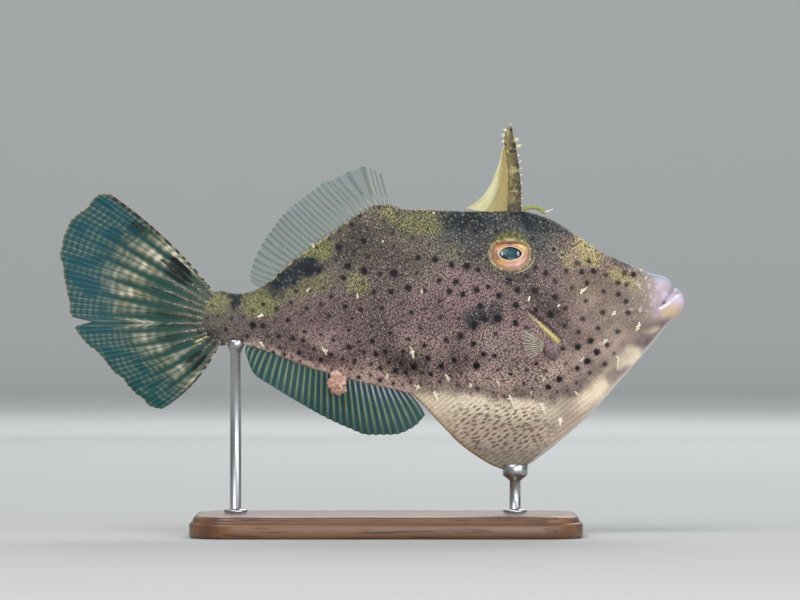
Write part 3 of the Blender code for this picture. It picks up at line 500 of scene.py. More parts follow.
def oval(dx, dz):
    """1 on the line where lid and eye meet, less inside it and more outside: below the middle an
    ellipse, above it a fuller oval, whose power of 2.8 in place of 2 flattens the top."""
    power = np.where(dz > 0, 2.8, 2.0)
    return (np.abs(dx / EYE_HALF[0]) ** power + np.abs(dz / EYE_HALF[1]) ** power) ** (1 / power)


def eye_distance(x, z):
    """1 on the rim of the eye, less inside it and more outside."""
    return oval(x - EYE_AT[0], z - EYE_AT[1])


def on_brow(x, z):
    """1 on the fleshy hood over the eye, 0 off it: an arched ellipse with a scalloped edge."""
    dx, dz = x - BROW_AT[0], z - BROW_AT[1]
    reach = np.hypot(dx / BROW_HALF[0], (dz + 0.05 * dx * dx) / BROW_HALF[1])
    return ease(1.12, 0.78, reach + 0.08 * np.sin(3.1 * dx))


def relief(x, z):
    """The hills and dents of the skin in mm, added up: eye socket and lid, brow, nostrils with
    their rims, gill slit and fold, the folds of stalk and breast, and unevenness of the flanks."""
    eye = eye_distance(x, z)
    height = -1.5 * ease(0.98, 0.7, eye) + 0.5 * bell(eye - 1.07, 0.11)
    height += 0.8 * on_brow(x, z) + 0.3 * bell(eye - 1.35, 0.35)
    for at_x, at_z, radius in NOSTRILS:
        off = np.hypot(x - at_x, z - at_z) / radius
        height += 0.35 * bell(off - 1.05, 0.35) - 0.9 * bell(off, 0.55)
    share, side = beside(x, z, GILL_SLIT)
    height -= 1.1 * window(share, 0, 0.25, 0.85, 1) * bell(side, 0.42)
    share, side = beside(x, z, GILL_FOLD)
    height += (0.15 + 0.5 * share) * window(share, 0, 0.2, 0.9, 1) * bell(side, 0.3 + 0.4 * share)
    height -= 0.12 * bell(beside(x, z, STALK_LINE)[1], 0.9)
    share, side = beside(x, z, BREAST_FOLD)
    height -= 0.16 * window(share, 0, 0.2, 0.85, 1) * bell(side + 0.6, 1.0)
    height += 0.14 * noise(x, z, 5.5, 5) + 0.06 * noise(x, z, 2.2, 6)
    return height


print("depth of the gill slit, in mm:", round(-float(relief(*GILL_SLIT[2])), 1))

# %% The skin as one grid
SIDE_ROWS = 148
FRONT_STEP, TAIL_STEP = 0.437, 0.9
SNOUT_FROM, SNOUT_RINGS, SNOUT_CROWDING = 80, 24, 1.7


def edged(count, fine):
    """Numbers from 0 to 1 whose steps shrink to a fifth near both ends, for a well-rounded rim."""
    middle = (np.arange(count) + 0.5) / count
    step = 1 - 0.8 * (bell(middle, fine) + bell(1 - middle, fine))
    return np.concatenate([[0], np.cumsum(step) / step.sum()])


def skin_columns():
    """The x of each ring of the skin: close steps over the body, closer still round the snout."""
    tail = np.arange(TAIL_END + 0.02, TAIL_ROUND_FROM, TAIL_STEP)
    body = np.arange(TAIL_ROUND_FROM, SNOUT_FROM, FRONT_STEP)
    snout = SNOUT_TIP - (SNOUT_TIP - SNOUT_FROM) * np.linspace(1, 0.045, SNOUT_RINGS) ** SNOUT_CROWDING
    return np.concatenate([tail, body, snout[:-1], [SNOUT_TIP - 0.05]])


columns = skin_columns()
rows = edged(SIDE_ROWS, 0.03)
skin_x = np.repeat(columns[:, None], SIDE_ROWS + 1, axis=1)
skin_z = keel_of(skin_x) + (top_of(skin_x) - keel_of(skin_x)) * rows
from_edge = np.minimum(*edge_distances(skin_x, skin_z))
rim = np.clip(from_edge / np.maximum(edge_half(skin_x), 1e-3), 0, 1)
inner = ease(0.2, 1.6, from_edge)
skin_y = half_width(skin_x, skin_z) + relief(skin_x, skin_z) * inner
share, away = mouth_distance(skin_x, skin_z)
in_mouth = window(share, -0.12, 0.1, 1.4, 2.2) * bell(away, 0.2 + 0.3 * np.clip(share, 0, 1.2))
skin_y = np.maximum(skin_y * (1 - (0.18 + 0.4 * ease(0.6, 1.1, share)) * in_mouth), 0.05)
skin_y = skin_y * np.sqrt(1 - (1 - rim) ** 2)
print("skin grid:", skin_x.shape, "widest in mm:", round(2 * float(skin_y.max()), 1))

# %% [markdown]
# The colours of this fish are a camouflage: brown-grey flanks that warm to tan on the cheeks,
# dull yellow and blue-black clouds along the back, a cream belly, and dark spots all over. Image
# textures would be one way, but these are painted by rule. Each cloud is an ellipse with a
# ragged edge, laid over the one before like a coat of thin paint, and kept at each point.

# %% The painter's tools
def coats(ground, *layers):
    """Coats of paint, one over the other. The ground is a painted sheet or one screen colour. Each
    coat is a screen colour or a sheet, with how well it covers each place, from 0 to 1."""
    sheet = ground if np.ndim(ground) > 1 else linear(*ground)
    for tint, cover in layers:
        tint = tint if np.ndim(tint) > 1 else linear(*tint)
        sheet = sheet + (tint - sheet) * np.clip(cover, 0, 1)[..., None]
    return sheet


def clouds_of(x, z, clouds, softness, seed):
    """How well a group of ellipses (x, z, half length, half height, turn in degrees, strength)
    covers each place: bell-shaped towards the edge, with the edge moved about by noise."""
    x = x + 1.3 * noise(x, z, 3.1, seed) + 0.5 * noise(x, z, 1.1, seed + 1)
    z = z + 1.3 * noise(x, z, 3.3, seed + 2) + 0.5 * noise(x, z, 1.2, seed + 3)
    cover = np.zeros(np.shape(x))
    for at_x, at_z, long, high, turn, strength in clouds:
        along_it, across_it = turned(x - at_x, z - at_z, math.radians(turn))
        reach = np.hypot(along_it / long, across_it / high)
        cover = np.maximum(cover, strength * ease(1 + softness, 1 - softness, reach))
    return cover


# %% Undercoats from tail to snout
ROSY_BROWN, OLIVE, SMOKE, MAUVE = (102, 86, 86), (89, 87, 74), (68, 72, 72), (130, 111, 110)
TAN, PALE_TAN, STALK_GREY = (115, 98, 91), (136, 123, 113), (84, 84, 75)


def undercoats(x, z):
    """The coats under the markings. Rosy brown covers everything. Over it, each fading in across a
    centimetre or more, go olive towards the back, grey on the tail stalk, mauve on the breast, tan
    on the cheek, smoke over the head and pale tan on the snout."""
    height = (z - belly_of(x)) / np.maximum(top_of(x) - belly_of(x), 0.5)
    return coats(
        ROSY_BROWN,
        (OLIVE, 0.8 * ease(0.4, 0.85, height) * ease(45, 15, x)),
        (STALK_GREY, 0.7 * ease(-20, -44, x)),
        (MAUVE, 0.85 * bell(np.hypot((x - 43) / 17, (z + 15) / 11), 1)),
        (TAN, ease(42, 60, x) * ease(0.1, 0.35, height)),
        (SMOKE, ease(0.62, 0.88, height) * ease(12, 24, x) * ease(57, 43, x)),
        (PALE_TAN, ease(60, 78, x) * ease(0.0, 0.5, height)),
    )


# %% Clouds, bands and the cream belly
# A cloud is (x, z, half length, half height, turn in degrees, strength).
YELLOW_CLOUDS = [
    (-30.0, -0.8, 5.6, 3.4, 10, 0.9), (-41.8, -0.6, 3.6, 3.2, 0, 0.75), (-14.2, 12.9, 4.8, 2.6, 42, 1.0),
    (-18.5, 3.2, 8.5, 2.4, 16, 0.5), (-3.7, 4.6, 3.2, 3.6, 20, 0.8), (13.2, 20.8, 5.6, 3.8, 0, 0.8),
    (4.6, 23.2, 2.8, 2.2, 0, 0.95), (22, 13, 4.0, 2.6, 10, 0.2), (20.5, 22.5, 1.4, 2.4, 0, 0.5),
    (46.3, 20.4, 2.2, 1.3, -30, 0.6), (57.5, 4.0, 5.0, 3.0, 0, 0.2),
]
GOLD_CLOUDS = [
    (58.4, 13.0, 5.2, 2.4, -36, 1.0), (68.2, 5.6, 4.8, 1.9, -20, 0.75), (53.5, 11.0, 4.0, 2.4, -40, 0.4),
]
DARK_CLOUDS = [
    (-37.1, 0.5, 1.9, 2.1, 0, 0.95), (-23.8, 5.6, 5.8, 3.0, 36, 1.0), (-17.4, 8.9, 4.6, 2.0, 16, 1.0),
    (26.0, 21.3, 7.2, 3.4, 0, 0.85), (43.0, 21.4, 7.5, 2.0, -22, 0.75), (27.6, -4.9, 3.3, 3.2, 30, 0.85),
    (32.8, -3.4, 2.6, 2.2, 0, 0.6), (-44, -9.5, 4.5, 2.4, 20, 0.55),
]
UMBER_CLOUDS = [
    (-4.5, 15.6, 7.5, 4.6, 36, 0.85), (1.0, 3.0, 5.0, 15.0, 4, 0.4), (3.0, 10.5, 7.5, 4.5, 0, 0.5),
    # The cloud at (47.8, -1.5) is painted shadow beside the gill slit and its fold.
    (47.8, -1.5, 9.5, 3.0, -50, 0.8), (41.5, 5.5, 5.5, 2.6, -10, 0.7), (9.5, -17.6, 5.0, 2.4, -8, 0.8),
    (-27, -8.5, 7, 1.6, -18, 0.3), (23.0, -17.0, 6.0, 2.2, 0, 0.3), (29.0, 13.5, 9.0, 4.5, 0, 0.45),
    (-2.0, -5.0, 8.0, 5.0, 0, 0.4), (2.5, 19.5, 5.0, 3.0, 0, 0.4), (-22.0, 2.0, 9.0, 2.0, 14, 0.3),
]
ROSY_CLOUDS = [
    (12, -6, 9, 6, 0, 0.45), (-9, -10, 10, 5, 0, 0.4), (24, 3, 9, 6, 0, 0.55), (44, -10, 8, 6, 0, 0.5),
]
# Pale clouds: the skin's paler mauve, and low on the flank, where it turns down, painted light as well.
PALE_CLOUDS_AND_PAINTED_LIGHT = [
    (34, -21.5, 11, 3.4, 0, 0.75), (52, -19.0, 9, 4.6, 28, 0.8), (64.5, -12.5, 6.5, 4, 42, 0.75),
    (61, -5, 8, 6, 0, 0.25), (40, -13, 9, 5, 0, 0.35), (-3.7, 5.5, 1.6, 1.6, 0, 0.45),
    (-14, -10.5, 5, 2.4, -15, 0.35), (5, -20, 9, 3.4, -8, 0.6), (15, -13, 7, 4, 0, 0.3),
    (20, -23.5, 7, 2, 0, 0.5),
]
CREAM_LINE = [
    (10.7, -25.4), (14.5, -25.2), (21.5, -25.7), (31, -26.6), (41, -27.4), (49.3, -27.6), (55.5, -25.6),
    (59.6, -21.7), (65.9, -15.5), (72.1, -11.0), (76.5, -8.2), (80.5, -5.2), (83, -3.6),
]
# A spot is (x, z), and a big one (x, z, radius).
SPOT_PLACES = [
    (-32.2, -6.8), (-17.5, 8.1), (-14.3, 8.1), (-8.8, 14.4), (-7.5, 6.0), (-6.4, 9.2), (-2.0, 16.0),
    (-2.0, 7.9), (6.1, 7.3), (8.6, -13.9), (9.9, 3.3), (11.5, -17.9), (12.6, 11.4), (15.3, -15.8),
    (16.2, -20.1), (17.2, 10.9), (18.3, 5.2), (18.9, -17.9), (20.2, -10.9), (21.0, 2.2), (21.6, 9.5),
    (22.4, -16.3), (22.9, 4.9), (24.0, -9.8), (24.8, 1.6), (25.7, 9.2), (27.6, -7.3), (27.6, -11.9),
    (28.4, 2.7), (28.4, -17.9), (28.9, 8.1), (29.5, -1.6), (30.3, -14.7), (30.6, -5.2), (31.6, 3.5),
    (33.3, -15.2), (34.4, 1.1), (34.4, -4.9), (36.8, 5.4), (39.0, -1.4), (39.0, -6.2), (39.5, 2.7),
    (44.1, 2.4), (44.4, -2.7), (47.1, 7.3), (47.9, -23.6), (48.2, -3.8), (49.6, 0.8), (50.9, -21.5),
    (51.7, -13.0), (55.8, -12.8), (55.8, -18.5), (58.5, -16.6), (59.3, -11.1), (61.0, -14.1), (63.4, -17.4),
]
BIG_SPOTS = [
    (-32.2, -6.8, 0.85), (-2.0, 7.9, 0.95), (6.1, 7.3, 1.0), (-6.4, 9.2, 0.85), (25.7, 9.2, 0.9),
    (27.9, -6.6, 0.9), (48.4, -3.9, 0.9), (37.0, 5.1, 0.85), (34.2, -5.0, 0.95), (11.5, -18.0, 0.9),
    (28.4, -17.9, 0.9),
]
LITTLE_SPOTS = [
    (-25.2, -9.9), (-21.3, -10.4), (-18.5, -11.0), (-10.3, -10.8), (-3.4, -11.4), (0.2, -11.1),
    (-23.7, -14.7), (-19.6, -14.3), (-15.5, -13.2), (-13.8, -16.2), (-10.9, -14.9), (-6.1, -12.7),
    (-7.7, -16.0), (-4.6, -16.6), (-2.1, -14.1), (1.2, -14.7), (3.7, -14.0), (-0.1, -17.3), (2.3, -18.4),
    (4.7, -16.9), (8.0, -17.1), (6.5, -19.1), (9.3, -19.7), (14.3, -12.3), (10.1, -10.6), (-3.5, -21.0),
    (2.3, -21.7), (13.2, -22.8), (5.7, 18.2), (-21.9, 7.3), (-10.9, 0.9), (-21.7, -0.7), (-20.4, 2.4),
    (-17.5, -2.2), (-13.6, -1.2), (-11.5, -4.3), (-22.6, -5.5), (-25.7, -2.3), (-29.4, -7.0), (-18.1, -8.6),
    (-7.1, -1.8), (-2.9, -2.6), (2.8, -2.3), (0.7, 2.2), (5.4, 2.2), (-6.1, -8.2), (0.1, -7.1), (5.1, -9.0),
]
CHEEK_SPOTS = [
    (52.8, 7.9), (55.6, 10.0), (58.9, 10.5), (56.9, 7.6), (60.1, 7.8), (63.5, 6.8), (68.6, 7.3),
    (71.1, 6.9), (58.3, 4.6), (54.2, 3.3), (62.8, 2.3), (49.7, 5.1), (52.4, -2.3), (57.2, -5.2),
    (57.9, -0.3), (62.6, -3.4), (61.3, -7.6), (56.0, -8.6), (52.2, -7.0), (66.6, -8.6), (66.8, 1.6),
    (69.1, 4.3), (66.8, 4.7), (69.5, -3.5), (41.9, -7.5), (42.0, 6.6), (44.3, 8.7), (63.8, -12.2),
    (68.9, -0.4),
]
cream_line = smooth(CREAM_LINE)


def scattered(seed, spacing, keep_off, count=9000):
    """Random places in the side view of the body, none nearer to another than the spacing, nor to
    the given ones: each candidate is kept only where it is far enough from those kept before."""
    draw = np.random.default_rng(seed)
    xs, shares = draw.uniform(-46, 84, count), draw.uniform(0, 1, count)
    kept = [np.array(spot[:2]) for spot in keep_off]
    for x, share in zip(xs, shares):
        place = np.array([x, float(keel_of(x) + share * (top_of(x) - keel_of(x)))])
        gap = spacing(place)
        if gap and np.min(np.hypot(*(np.array(kept) - place).T)) > gap:
            kept.append(place)
    return np.array(kept[len(keep_off):])


def spot_spacing(place):
    """Strewn spots stand closer low on the flank and towards the tail. There are none on the cream
    belly and the lips, nor on the cheek, where all the spots are measured ones."""
    x, z = place
    if z < cream_line(x) + 0.8 or x > 73 or (x > 44 and z > -13):
        return 0
    low = ease(0.3, 0.05, (z - belly_of(x)) / (top_of(x) - belly_of(x)))
    return 3.5 - 1.1 * low - 0.5 * ease(20, -30, x)


def spots_field(x, z, seed):
    """For every place, its distance from the nearest spot's middle as a share of that spot's radius,
    at most 3, and how dark that spot is. The edge of a spot is where the share is 1, and the
    finish draws it there, finer than the mesh."""
    draw = np.random.default_rng(seed)
    strewn = scattered(seed + 1, spot_spacing, SPOT_PLACES + LITTLE_SPOTS + CHEEK_SPOTS)
    kinds = [
        (SPOT_PLACES, (0.66, 0.88), (0.8, 0.95)), (LITTLE_SPOTS, (0.5, 0.72), (0.65, 0.9)),
        (CHEEK_SPOTS, (0.58, 0.8), (0.6, 0.8)), (strewn, (0.36, 0.6), (0.4, 0.8)),
    ]
    spots = []
    for places, sizes, darks in kinds:
        spots += [(*place, draw.uniform(*sizes), draw.uniform(*darks)) for place in places]
    spots += [(*spot, 1.0) for spot in BIG_SPOTS]
    share, dark = np.full(x.shape, 3.0), np.zeros(x.shape)
    for at_x, at_z, radius, strength in spots:
        part = slice(*np.searchsorted(x[:, 0], [at_x - 3 * radius, at_x + 3 * radius]))
        reach = np.hypot(x[part] - at_x, z[part] - at_z) / radius
        dark[part] = np.where(reach < share[part], strength, dark[part])
        share[part] = np.minimum(share[part], reach)
    print("spots:", len(spots))
    return share, dark


# %% Paint on the flap and the throat
DASH_FIELD = [(35.0, -34.5, 14.0, 7.6, -8, 1.0)]
THROAT_CREAM = [
    (74.8, -8.6, 2.6, 1.3, 40, 0.9), (70.6, -14.6, 3.6, 2.2, 45, 1.0), (59.8, -24.2, 5.6, 3.4, 35, 1.0),
]
THROAT_MAUVE = [
    (73.9, -11.9, 2.0, 1.1, 40, 0.8), (65.8, -20.2, 2.8, 1.7, 40, 0.7), (78.5, -5.0, 2.4, 1.2, 40, 0.55),
]


def cream_parts(x, z, colour):
    """The unspotted parts under the cream line, from the rear edge of the flap to the jaw, with how
    much of each place they cover."""
    line = cream_line(x) + 1.1 * noise(x, z, 1.6, 31) + 1.3 * noise(x, z, 4, 32)
    cream = ease(-2.2, 1.8, line - z) * ease(10.4, 12.5, x)
    depth, on_keel = abdomen_line(x) - z, bell(z - keel_of(x), 0.9)
    tone = coats(
        (211, 197, 174),
        ((164, 147, 130), ease(1, 7, depth)),
        ((112, 104, 94), 0.9 * ease(8, 17, depth)),
        ((190, 175, 150), 0.8 * ease(28, 14, x)),
        ((166, 150, 134), ease(44, 54, x)),
        ((142, 126, 126), ease(62, 72, x)),
        ((216, 200, 176), clouds_of(x, z, THROAT_CREAM, 0.6, 36)),
        ((104, 88, 96), clouds_of(x, z, THROAT_MAUVE, 0.7, 37)),
    )
    tone = coats(
        tone * (1 + 0.07 * noise(x, z, 2.5, 34))[..., None],
        ((232, 226, 216), 0.75 * on_keel * ease(40, 46, x)),
        ((200, 178, 128), 0.45 * on_keel * ease(40, 34, x)),
    )
    return coats(colour, (tone, cream)), cream


def gill_fold(x, z):
    """1 on the bright fold beside the gill slit, which widens towards its lower end."""
    share, side = beside(x, z, GILL_FOLD)
    return window(share, 0.02, 0.15, 0.95, 1) * bell(side, 0.16 + 0.5 * share)


# %% Paint on the lips, the gill slit and the ring of the eye
def lip_coats(x, z):
    """The blush of the snout, a painted highlight along its top, the two lips, the line of the mouth and its
    corner in painted shade, and flecks behind the lips.
    """
    snout, blush = ease(74, 79, x), ease(-0.5, 0.6, noise(x, z, 1.5, 38))
    lip_share, lip_side = beside(x, z, LOWER_LIP)
    jaw = ease(0.3, -0.6, lip_side) * ease(77.5, 79.5, x)
    share, away = mouth_distance(x, z)
    gape = window(share, -0.1, 0.05, 1.0, 1.3) * bell(away, 0.15)
    corner = np.hypot(x - MOUTH_CORNER[0] - 0.7, z - MOUTH_CORNER[1] - 0.9)
    behind_lips = window(x, 66, 71, 77, 79) * ease(-6, -3, z)
    return [
        ((176, 156, 168), 0.85 * snout * ease(-7, -3, z)),
        ((196, 188, 206), 0.55 * snout * blush * ease(-3, 0, z)),
        # A painted highlight along the top edge of the snout.
        ((122, 146, 166), 0.85 * ease(73, 77, x) * bell(top_of(x) - z, 1.0) * ease(0, 2, z)),
        ((206, 180, 146), 0.8 * jaw * ease(-6, -3.5, z)),
        ((196, 184, 212), 0.85 * jaw * np.maximum(ease(-2.4, 0.2, z), bell(SNOUT_TIP - x, 0.9))),
        ((168, 112, 74), 0.8 * bell(np.hypot(x - 82.7, z - 1.7), 0.4)),
        ((240, 234, 246), 0.9 * bell(lip_side, 0.36) * ease(0, 0.12, lip_share)),
        ((206, 194, 218), 0.8 * bell(away - 0.15, 0.5) * ease(-0.1, 0.2, share)),
        # The line of the mouth and the dot at its corner are painted shade.
        ((120, 100, 126), 0.6 * gape),
        ((40, 32, 38), 0.95 * bell(corner, 0.42)),
        ((206, 198, 202), 0.55 * ease(0.45, 0.8, noise(x, z, 0.62, 39)) * behind_lips),
    ]


def gill_coats(x, z):
    """The nostrils with their pale rims and painted shade in their holes, painted shade in the gill slit, and
    the bright fold beside it with painted shade round its foot.
    """
    layers = []
    for at_x, at_z, radius in NOSTRILS:
        off = np.hypot(x - at_x, z - at_z) / radius
        # The dark middle of each nostril is painted shade in its hole.
        layers += [((150, 144, 120), 0.6 * bell(off - 1.1, 0.3)), ((30, 26, 30), 0.9 * bell(off, 0.6))]
    share, side = beside(x, z, GILL_SLIT)
    # The dark gill slit is painted shade in its groove.
    layers.append(((40, 32, 38), 0.9 * window(share, 0.0, 0.2, 0.88, 1) * bell(side, 0.5)))
    share, side = beside(x, z, GILL_FOLD)
    # The darker band round the foot of the fold is painted shade.
    foot = ease(0, 0.2, share) * bell(side, 0.5 + 0.6 * share) * ease(1, 0.94, share)
    bright = coats((168, 148, 130), ((202, 188, 122), ease(0.2, 0.5, share)))
    return layers + [((122, 112, 92), 0.7 * foot), (bright, 0.95 * gill_fold(x, z))]


def lid_coats(x, z):
    """The ring of skin round the eye and the hood over it, with its dark scallops and pale arch."""
    eye, brow = eye_distance(x, z), on_brow(x, z)
    arch = z - 16.0 + 0.05 * (x - 37.6) ** 2
    return [
        ((72, 74, 58), 0.85 * bell(eye - 1.2, 0.13)),
        ((108, 106, 64), 0.92 * brow),
        ((36, 50, 36), 0.85 * brow * ease(0.0, 0.45, noise(x, z, 0.8, 35)) * ease(0.2, 1.2, arch)),
        ((206, 196, 116), 0.85 * brow * bell(arch, 0.45)),
        ((140, 104, 92), 0.75 * brow * bell(arch + 0.7, 0.3)),
        ((88, 80, 62), 0.85 * bell(eye - 1.11, 0.045)),
        ((196, 178, 138), 0.9 * bell(eye - 1.05, 0.025)),
        ((150, 118, 94), 0.9 * ease(1.035, 1.015, eye)),
    ]


# %% All the paint and the marks of the hide
def edge_coats(x, z):
    """The pale edges of the body: rosy along the belly with a frill of cream, and cream flecks along
    the back under the dorsal fin."""
    from_keel = z - keel_of(x)
    wide = 1.4 + 1.3 * ease(-14, 0, x) + 0.6 * noise(x, z, 2, 57)
    low_edge = bell(from_keel - 0.7, wide) * window(x, -36, -30, 11, 14)
    frill = bell(from_keel - 0.3, 0.5) * ease(13, 10, x) * ease(-0.3, 0.4, noise(x, z, 1.0, 59))
    under_fin = window(x, -31, -28, -5, 0)
    flecks = bell(top_of(x) - z, 0.5) * under_fin * ease(-0.4, 0.5, noise(x, z, 1.1, 58))
    layers = [
        ((206, 178, 170), 0.85 * low_edge), ((226, 218, 206), 0.8 * frill), ((216, 204, 160), 0.8 * flecks),
    ]
    return layers, low_edge


def hide_paint(x, z):
    """All the coats of paint on the hide, one over the other, with how much of each place the cream
    of the belly covers and where the rosy lower edge is."""
    forehead = window(x, 38, 42, 53, 57) + 0.7 * window(x, 64, 66, 70, 72)
    share, side = beside(x, z, BREAST_FOLD)
    fold = window(share, 0, 0.15, 0.85, 1.0) * window(side, -6, -0.5, -0.3, 0.4)
    colour = coats(
        undercoats(x, z),
        ((126, 101, 107), 0.8 * clouds_of(x, z, ROSY_CLOUDS, 0.6, 41)),
        ((168, 149, 139), clouds_of(x, z, PALE_CLOUDS_AND_PAINTED_LIGHT, 0.7, 43)),
        ((58, 52, 52), clouds_of(x, z, UMBER_CLOUDS, 0.75, 47)),
        ((109, 110, 70), 0.9 * clouds_of(x, z, YELLOW_CLOUDS, 0.45, 45)),
        ((34, 44, 52), 0.85 * bell(top_of(x) - z, 2.4) * forehead),
        ((157, 147, 105), clouds_of(x, z, GOLD_CLOUDS, 0.5, 49)),
        ((16, 28, 36), clouds_of(x, z, DARK_CLOUDS, 0.45, 51)),
        # Painted shade on the tail side of the breast fold.
        ((50, 44, 46), 0.35 * fold),
    )
    mottle = 0.16 * noise(x, z, 4.5, 55) + 0.16 * noise(x, z, 1.7, 56)
    edges, low_edge = edge_coats(x, z)
    colour, cream = cream_parts(x, z, coats(colour * (1 + mottle)[..., None], *edges))
    colour = coats(colour, *lip_coats(x, z), *gill_coats(x, z), *lid_coats(x, z))
    return np.clip(colour, 0, 1), cream, low_edge


def hide_marks(x, z):
    """The paint and the marks that the finish draws with: the spots, how grainy the skin is, and
    where the flap is ribbed and dashed. The lips, the eye's rim, the brow and the gill fold are
    smooth, and the cheek and the band above the cream are less grainy than the flank."""
    paint, cream, low_edge = hide_paint(x, z)
    share, dark = spots_field(x, z, 61)
    eye, brow = eye_distance(x, z), on_brow(x, z)
    bare = [ease(71.5, 78.5, x), ease(1.2, 1.05, eye), brow * 0.7, gill_fold(x, z)]
    cheek = ease(44, 60, x) * ease(1.0, 0.7, (z - belly_of(x)) / (top_of(x) - belly_of(x)))
    above_cream = bell(z - cream_line(x) - 2.2, 2.2) * ease(6, 16, x)
    grainy = (1 - 0.78 * cream) * (1 - np.maximum.reduce(bare))
    thinned = [
        (0.25, ease(0, -20, x)), (0.25, ease(-28, -42, x)), (0.54, cheek), (0.3, ease(62, 70, x)),
        (0.4, above_cream), (0.5, low_edge),
    ]
    for loss, place in thinned:
        grainy = grainy * (1 - loss * place)
    fold_share, beside_fold = beside(x, z, GILL_FOLD)
    on_fold = ease(0, 0.1, fold_share) * bell(beside_fold, 1.3) * ease(1.1, 1, fold_share)
    dark = dark * (1 - 0.85 * cream) * ease(1.2, 1.35, eye) * (1 - brow) * ease(75, 73, x) * (1 - on_fold)
    dashed = clouds_of(x, z, DASH_FIELD, 0.35, 33) * ease(0.4, 1.6, abdomen_line(x) - z)
    ribbed = cream * ease(63, 55, x)
    return {"paint": paint, "spot": share, "dark": dark, "grainy": grainy, "ribbed": ribbed, "dashed": dashed}


# %% [markdown]
# The granules are too small for the mesh: each is a scale with a spine on it, half a millimetre
# across and twice as long, and together they lie in leaning rows. A Voronoi pattern gives the
# distance from scattered points, so its low values are dots, and where one axis is squeezed they
# are strokes. They are the skin's own pale grain, drawn in a lit copy of the paint, painted light,
# and stand out as bump, with a net of painted shade, a shaded copy, between them. The
# spots are drawn here too, from the field on the mesh, so their edges stay sharp and ragged.

# %% The finish of the hide
GRAIN_WIDE, GRAIN_LONG, GRAIN_LEAN = 0.42, 0.82, math.radians(31)
RIB_GRAIN_WIDE, RIB_GRAIN_LONG = 0.46, 0.95
RIB_GRAIN_FROM, RIB_GRAIN_BELOW = -15, -19
DASH_LONG, DASH_WIDE, DASH_LEAN = 2.3, 1.0, math.radians(20)


def strokes(finish, across, along_it, wide, long, evenness, output=0):
    """Small strokes side by side: distance from scattered points in a plane whose two axes are
    measured in stroke widths and stroke lengths, or, as output 1, a random number for each."""
    steps = {0: across * (1 / (wide * MM)), 1: along_it * (1 / (long * MM))}
    plane = finish.node("ShaderNodeCombineXYZ", {}, steps)
    inputs = {"Vector": plane, "Scale": 1.0, "Randomness": evenness}
    return finish.node("ShaderNodeTexVoronoi", {"voronoi_dimensions": "2D"}, inputs, output)


def hide_finish():
    """Painted skin: granules in a lit copy of the paint, painted light on the skin's own pale grain,
    over a net in a shaded copy, painted shade, lying in other rows low on the body, spots with ragged
    edges, and the ribs and dashes of the flap. wander and stray bend the rows."""
    finish = Finish("granular_hide", IOR=1.42, Specular_IOR_Level=0.3)
    paint, grainy = finish.paint("paint"), finish.mark("grainy")
    x, y, z = finish.axes()
    z = z - AXIS_HEIGHT * MM
    wander = (finish.clouds(160, 2.0) - 0.5) * (1.6 * MM)
    stray = (finish.clouds(420, 2.0) - 0.5) * (0.7 * MM)
    across, along_it = turned(x, z, GRAIN_LEAN)
    ribs_along, ribs_across = turned(x, z, RIB_LEAN)
    ribs_across = ribs_across + wander * 0.5
    grains = (across + wander, along_it + stray, GRAIN_WIDE, GRAIN_LONG, 0.8)
    upper = strokes(finish, *grains)
    lower = strokes(finish, ribs_across, ribs_along + stray, RIB_GRAIN_WIDE, RIB_GRAIN_LONG, 0.75)
    below = (z + wander * 2).ease(RIB_GRAIN_FROM * MM, RIB_GRAIN_BELOW * MM)
    grain = (upper * (1 - below) + lower * below).ease(0.62, 0.1)
    luck = finish.node("ShaderNodeSeparateColor", {}, {0: strokes(finish, *grains, output=1)})
    dark = finish.mark("dark")
    spot_edge = finish.mark("spot") + (finish.clouds(900, 2.0) - 0.5) * 0.8
    spot = spot_edge.ease(1.5, 0.5) * dark
    core = spot_edge.ease(1.1, 0.3) * dark.ease(0.8, 1.0)
    halo = finish.mark("spot").ease(2.5, 0.8) * dark * 0.26
    rib = (ribs_across * (2 * math.pi / (RIB_SPACING * MM))).sine() * 0.5 + 0.5
    rib = rib * finish.mark("ribbed")
    dash_along, dash_across = turned(x, z, DASH_LEAN)
    dash = strokes(finish, dash_along + stray, dash_across + wander * 0.5, DASH_LONG, DASH_WIDE, 0.8)
    dash = dash.ease(0.42, 0.16) * finish.mark("dashed")
    # lit and shaded are copies of the paint: painted light on the granules and painted shade in the net
    # between them. The ribs of the flap are drawn in the shaded copy too.
    lit = finish.mix(1.0, paint, (1.8, 1.78, 1.72, 1), "MULTIPLY")
    lit = finish.mix(luck.ease(0.72, 1.0) * 0.25, lit, finish.colour(222, 214, 204))
    shaded = finish.mix(1.0, paint, (0.44, 0.4, 0.43, 1), "MULTIPLY")
    grained = finish.mix(grain, shaded, lit)
    layers = [
        (grainy, grained), (rib * 0.4, shaded), (dash * 0.78, finish.colour(66, 48, 44)),
        ((halo + spot).least(0.96), finish.colour(20, 12, 18)), (core * 0.9, finish.colour(5, 5, 18)),
    ]
    coloured = paint
    for share, tint in layers:
        coloured = finish.mix(share, coloured, tint)
    fine = finish.clouds(1700, 2.0)
    finish.bump(grain * grainy * 0.8 + rib * 0.5 + fine * 0.2, 0.00012, 0.9)
    return finish.gives(Base_Color=coloured, Roughness=0.5 + fine * 0.14 - grain * 0.06)


# %% The hide
hide_sheet = hide_marks(skin_x, skin_z)


def both_sides(right, left):
    """One ring per column: up the right side from keel to top, then down the left side."""
    return np.concatenate([right, left[:, -2:0:-1]], axis=1)


skin_rings = both_sides(*(np.stack([skin_x, side * skin_y, skin_z], axis=-1) for side in SIDES.values()))
hide_shell = rings_shell(skin_rings, **{name: both_sides(mark, mark) for name, mark in hide_sheet.items()})
piece("hide", hide_shell, hide_finish(), ["head", "trunk", "tail_stalk", "belly_flap"])

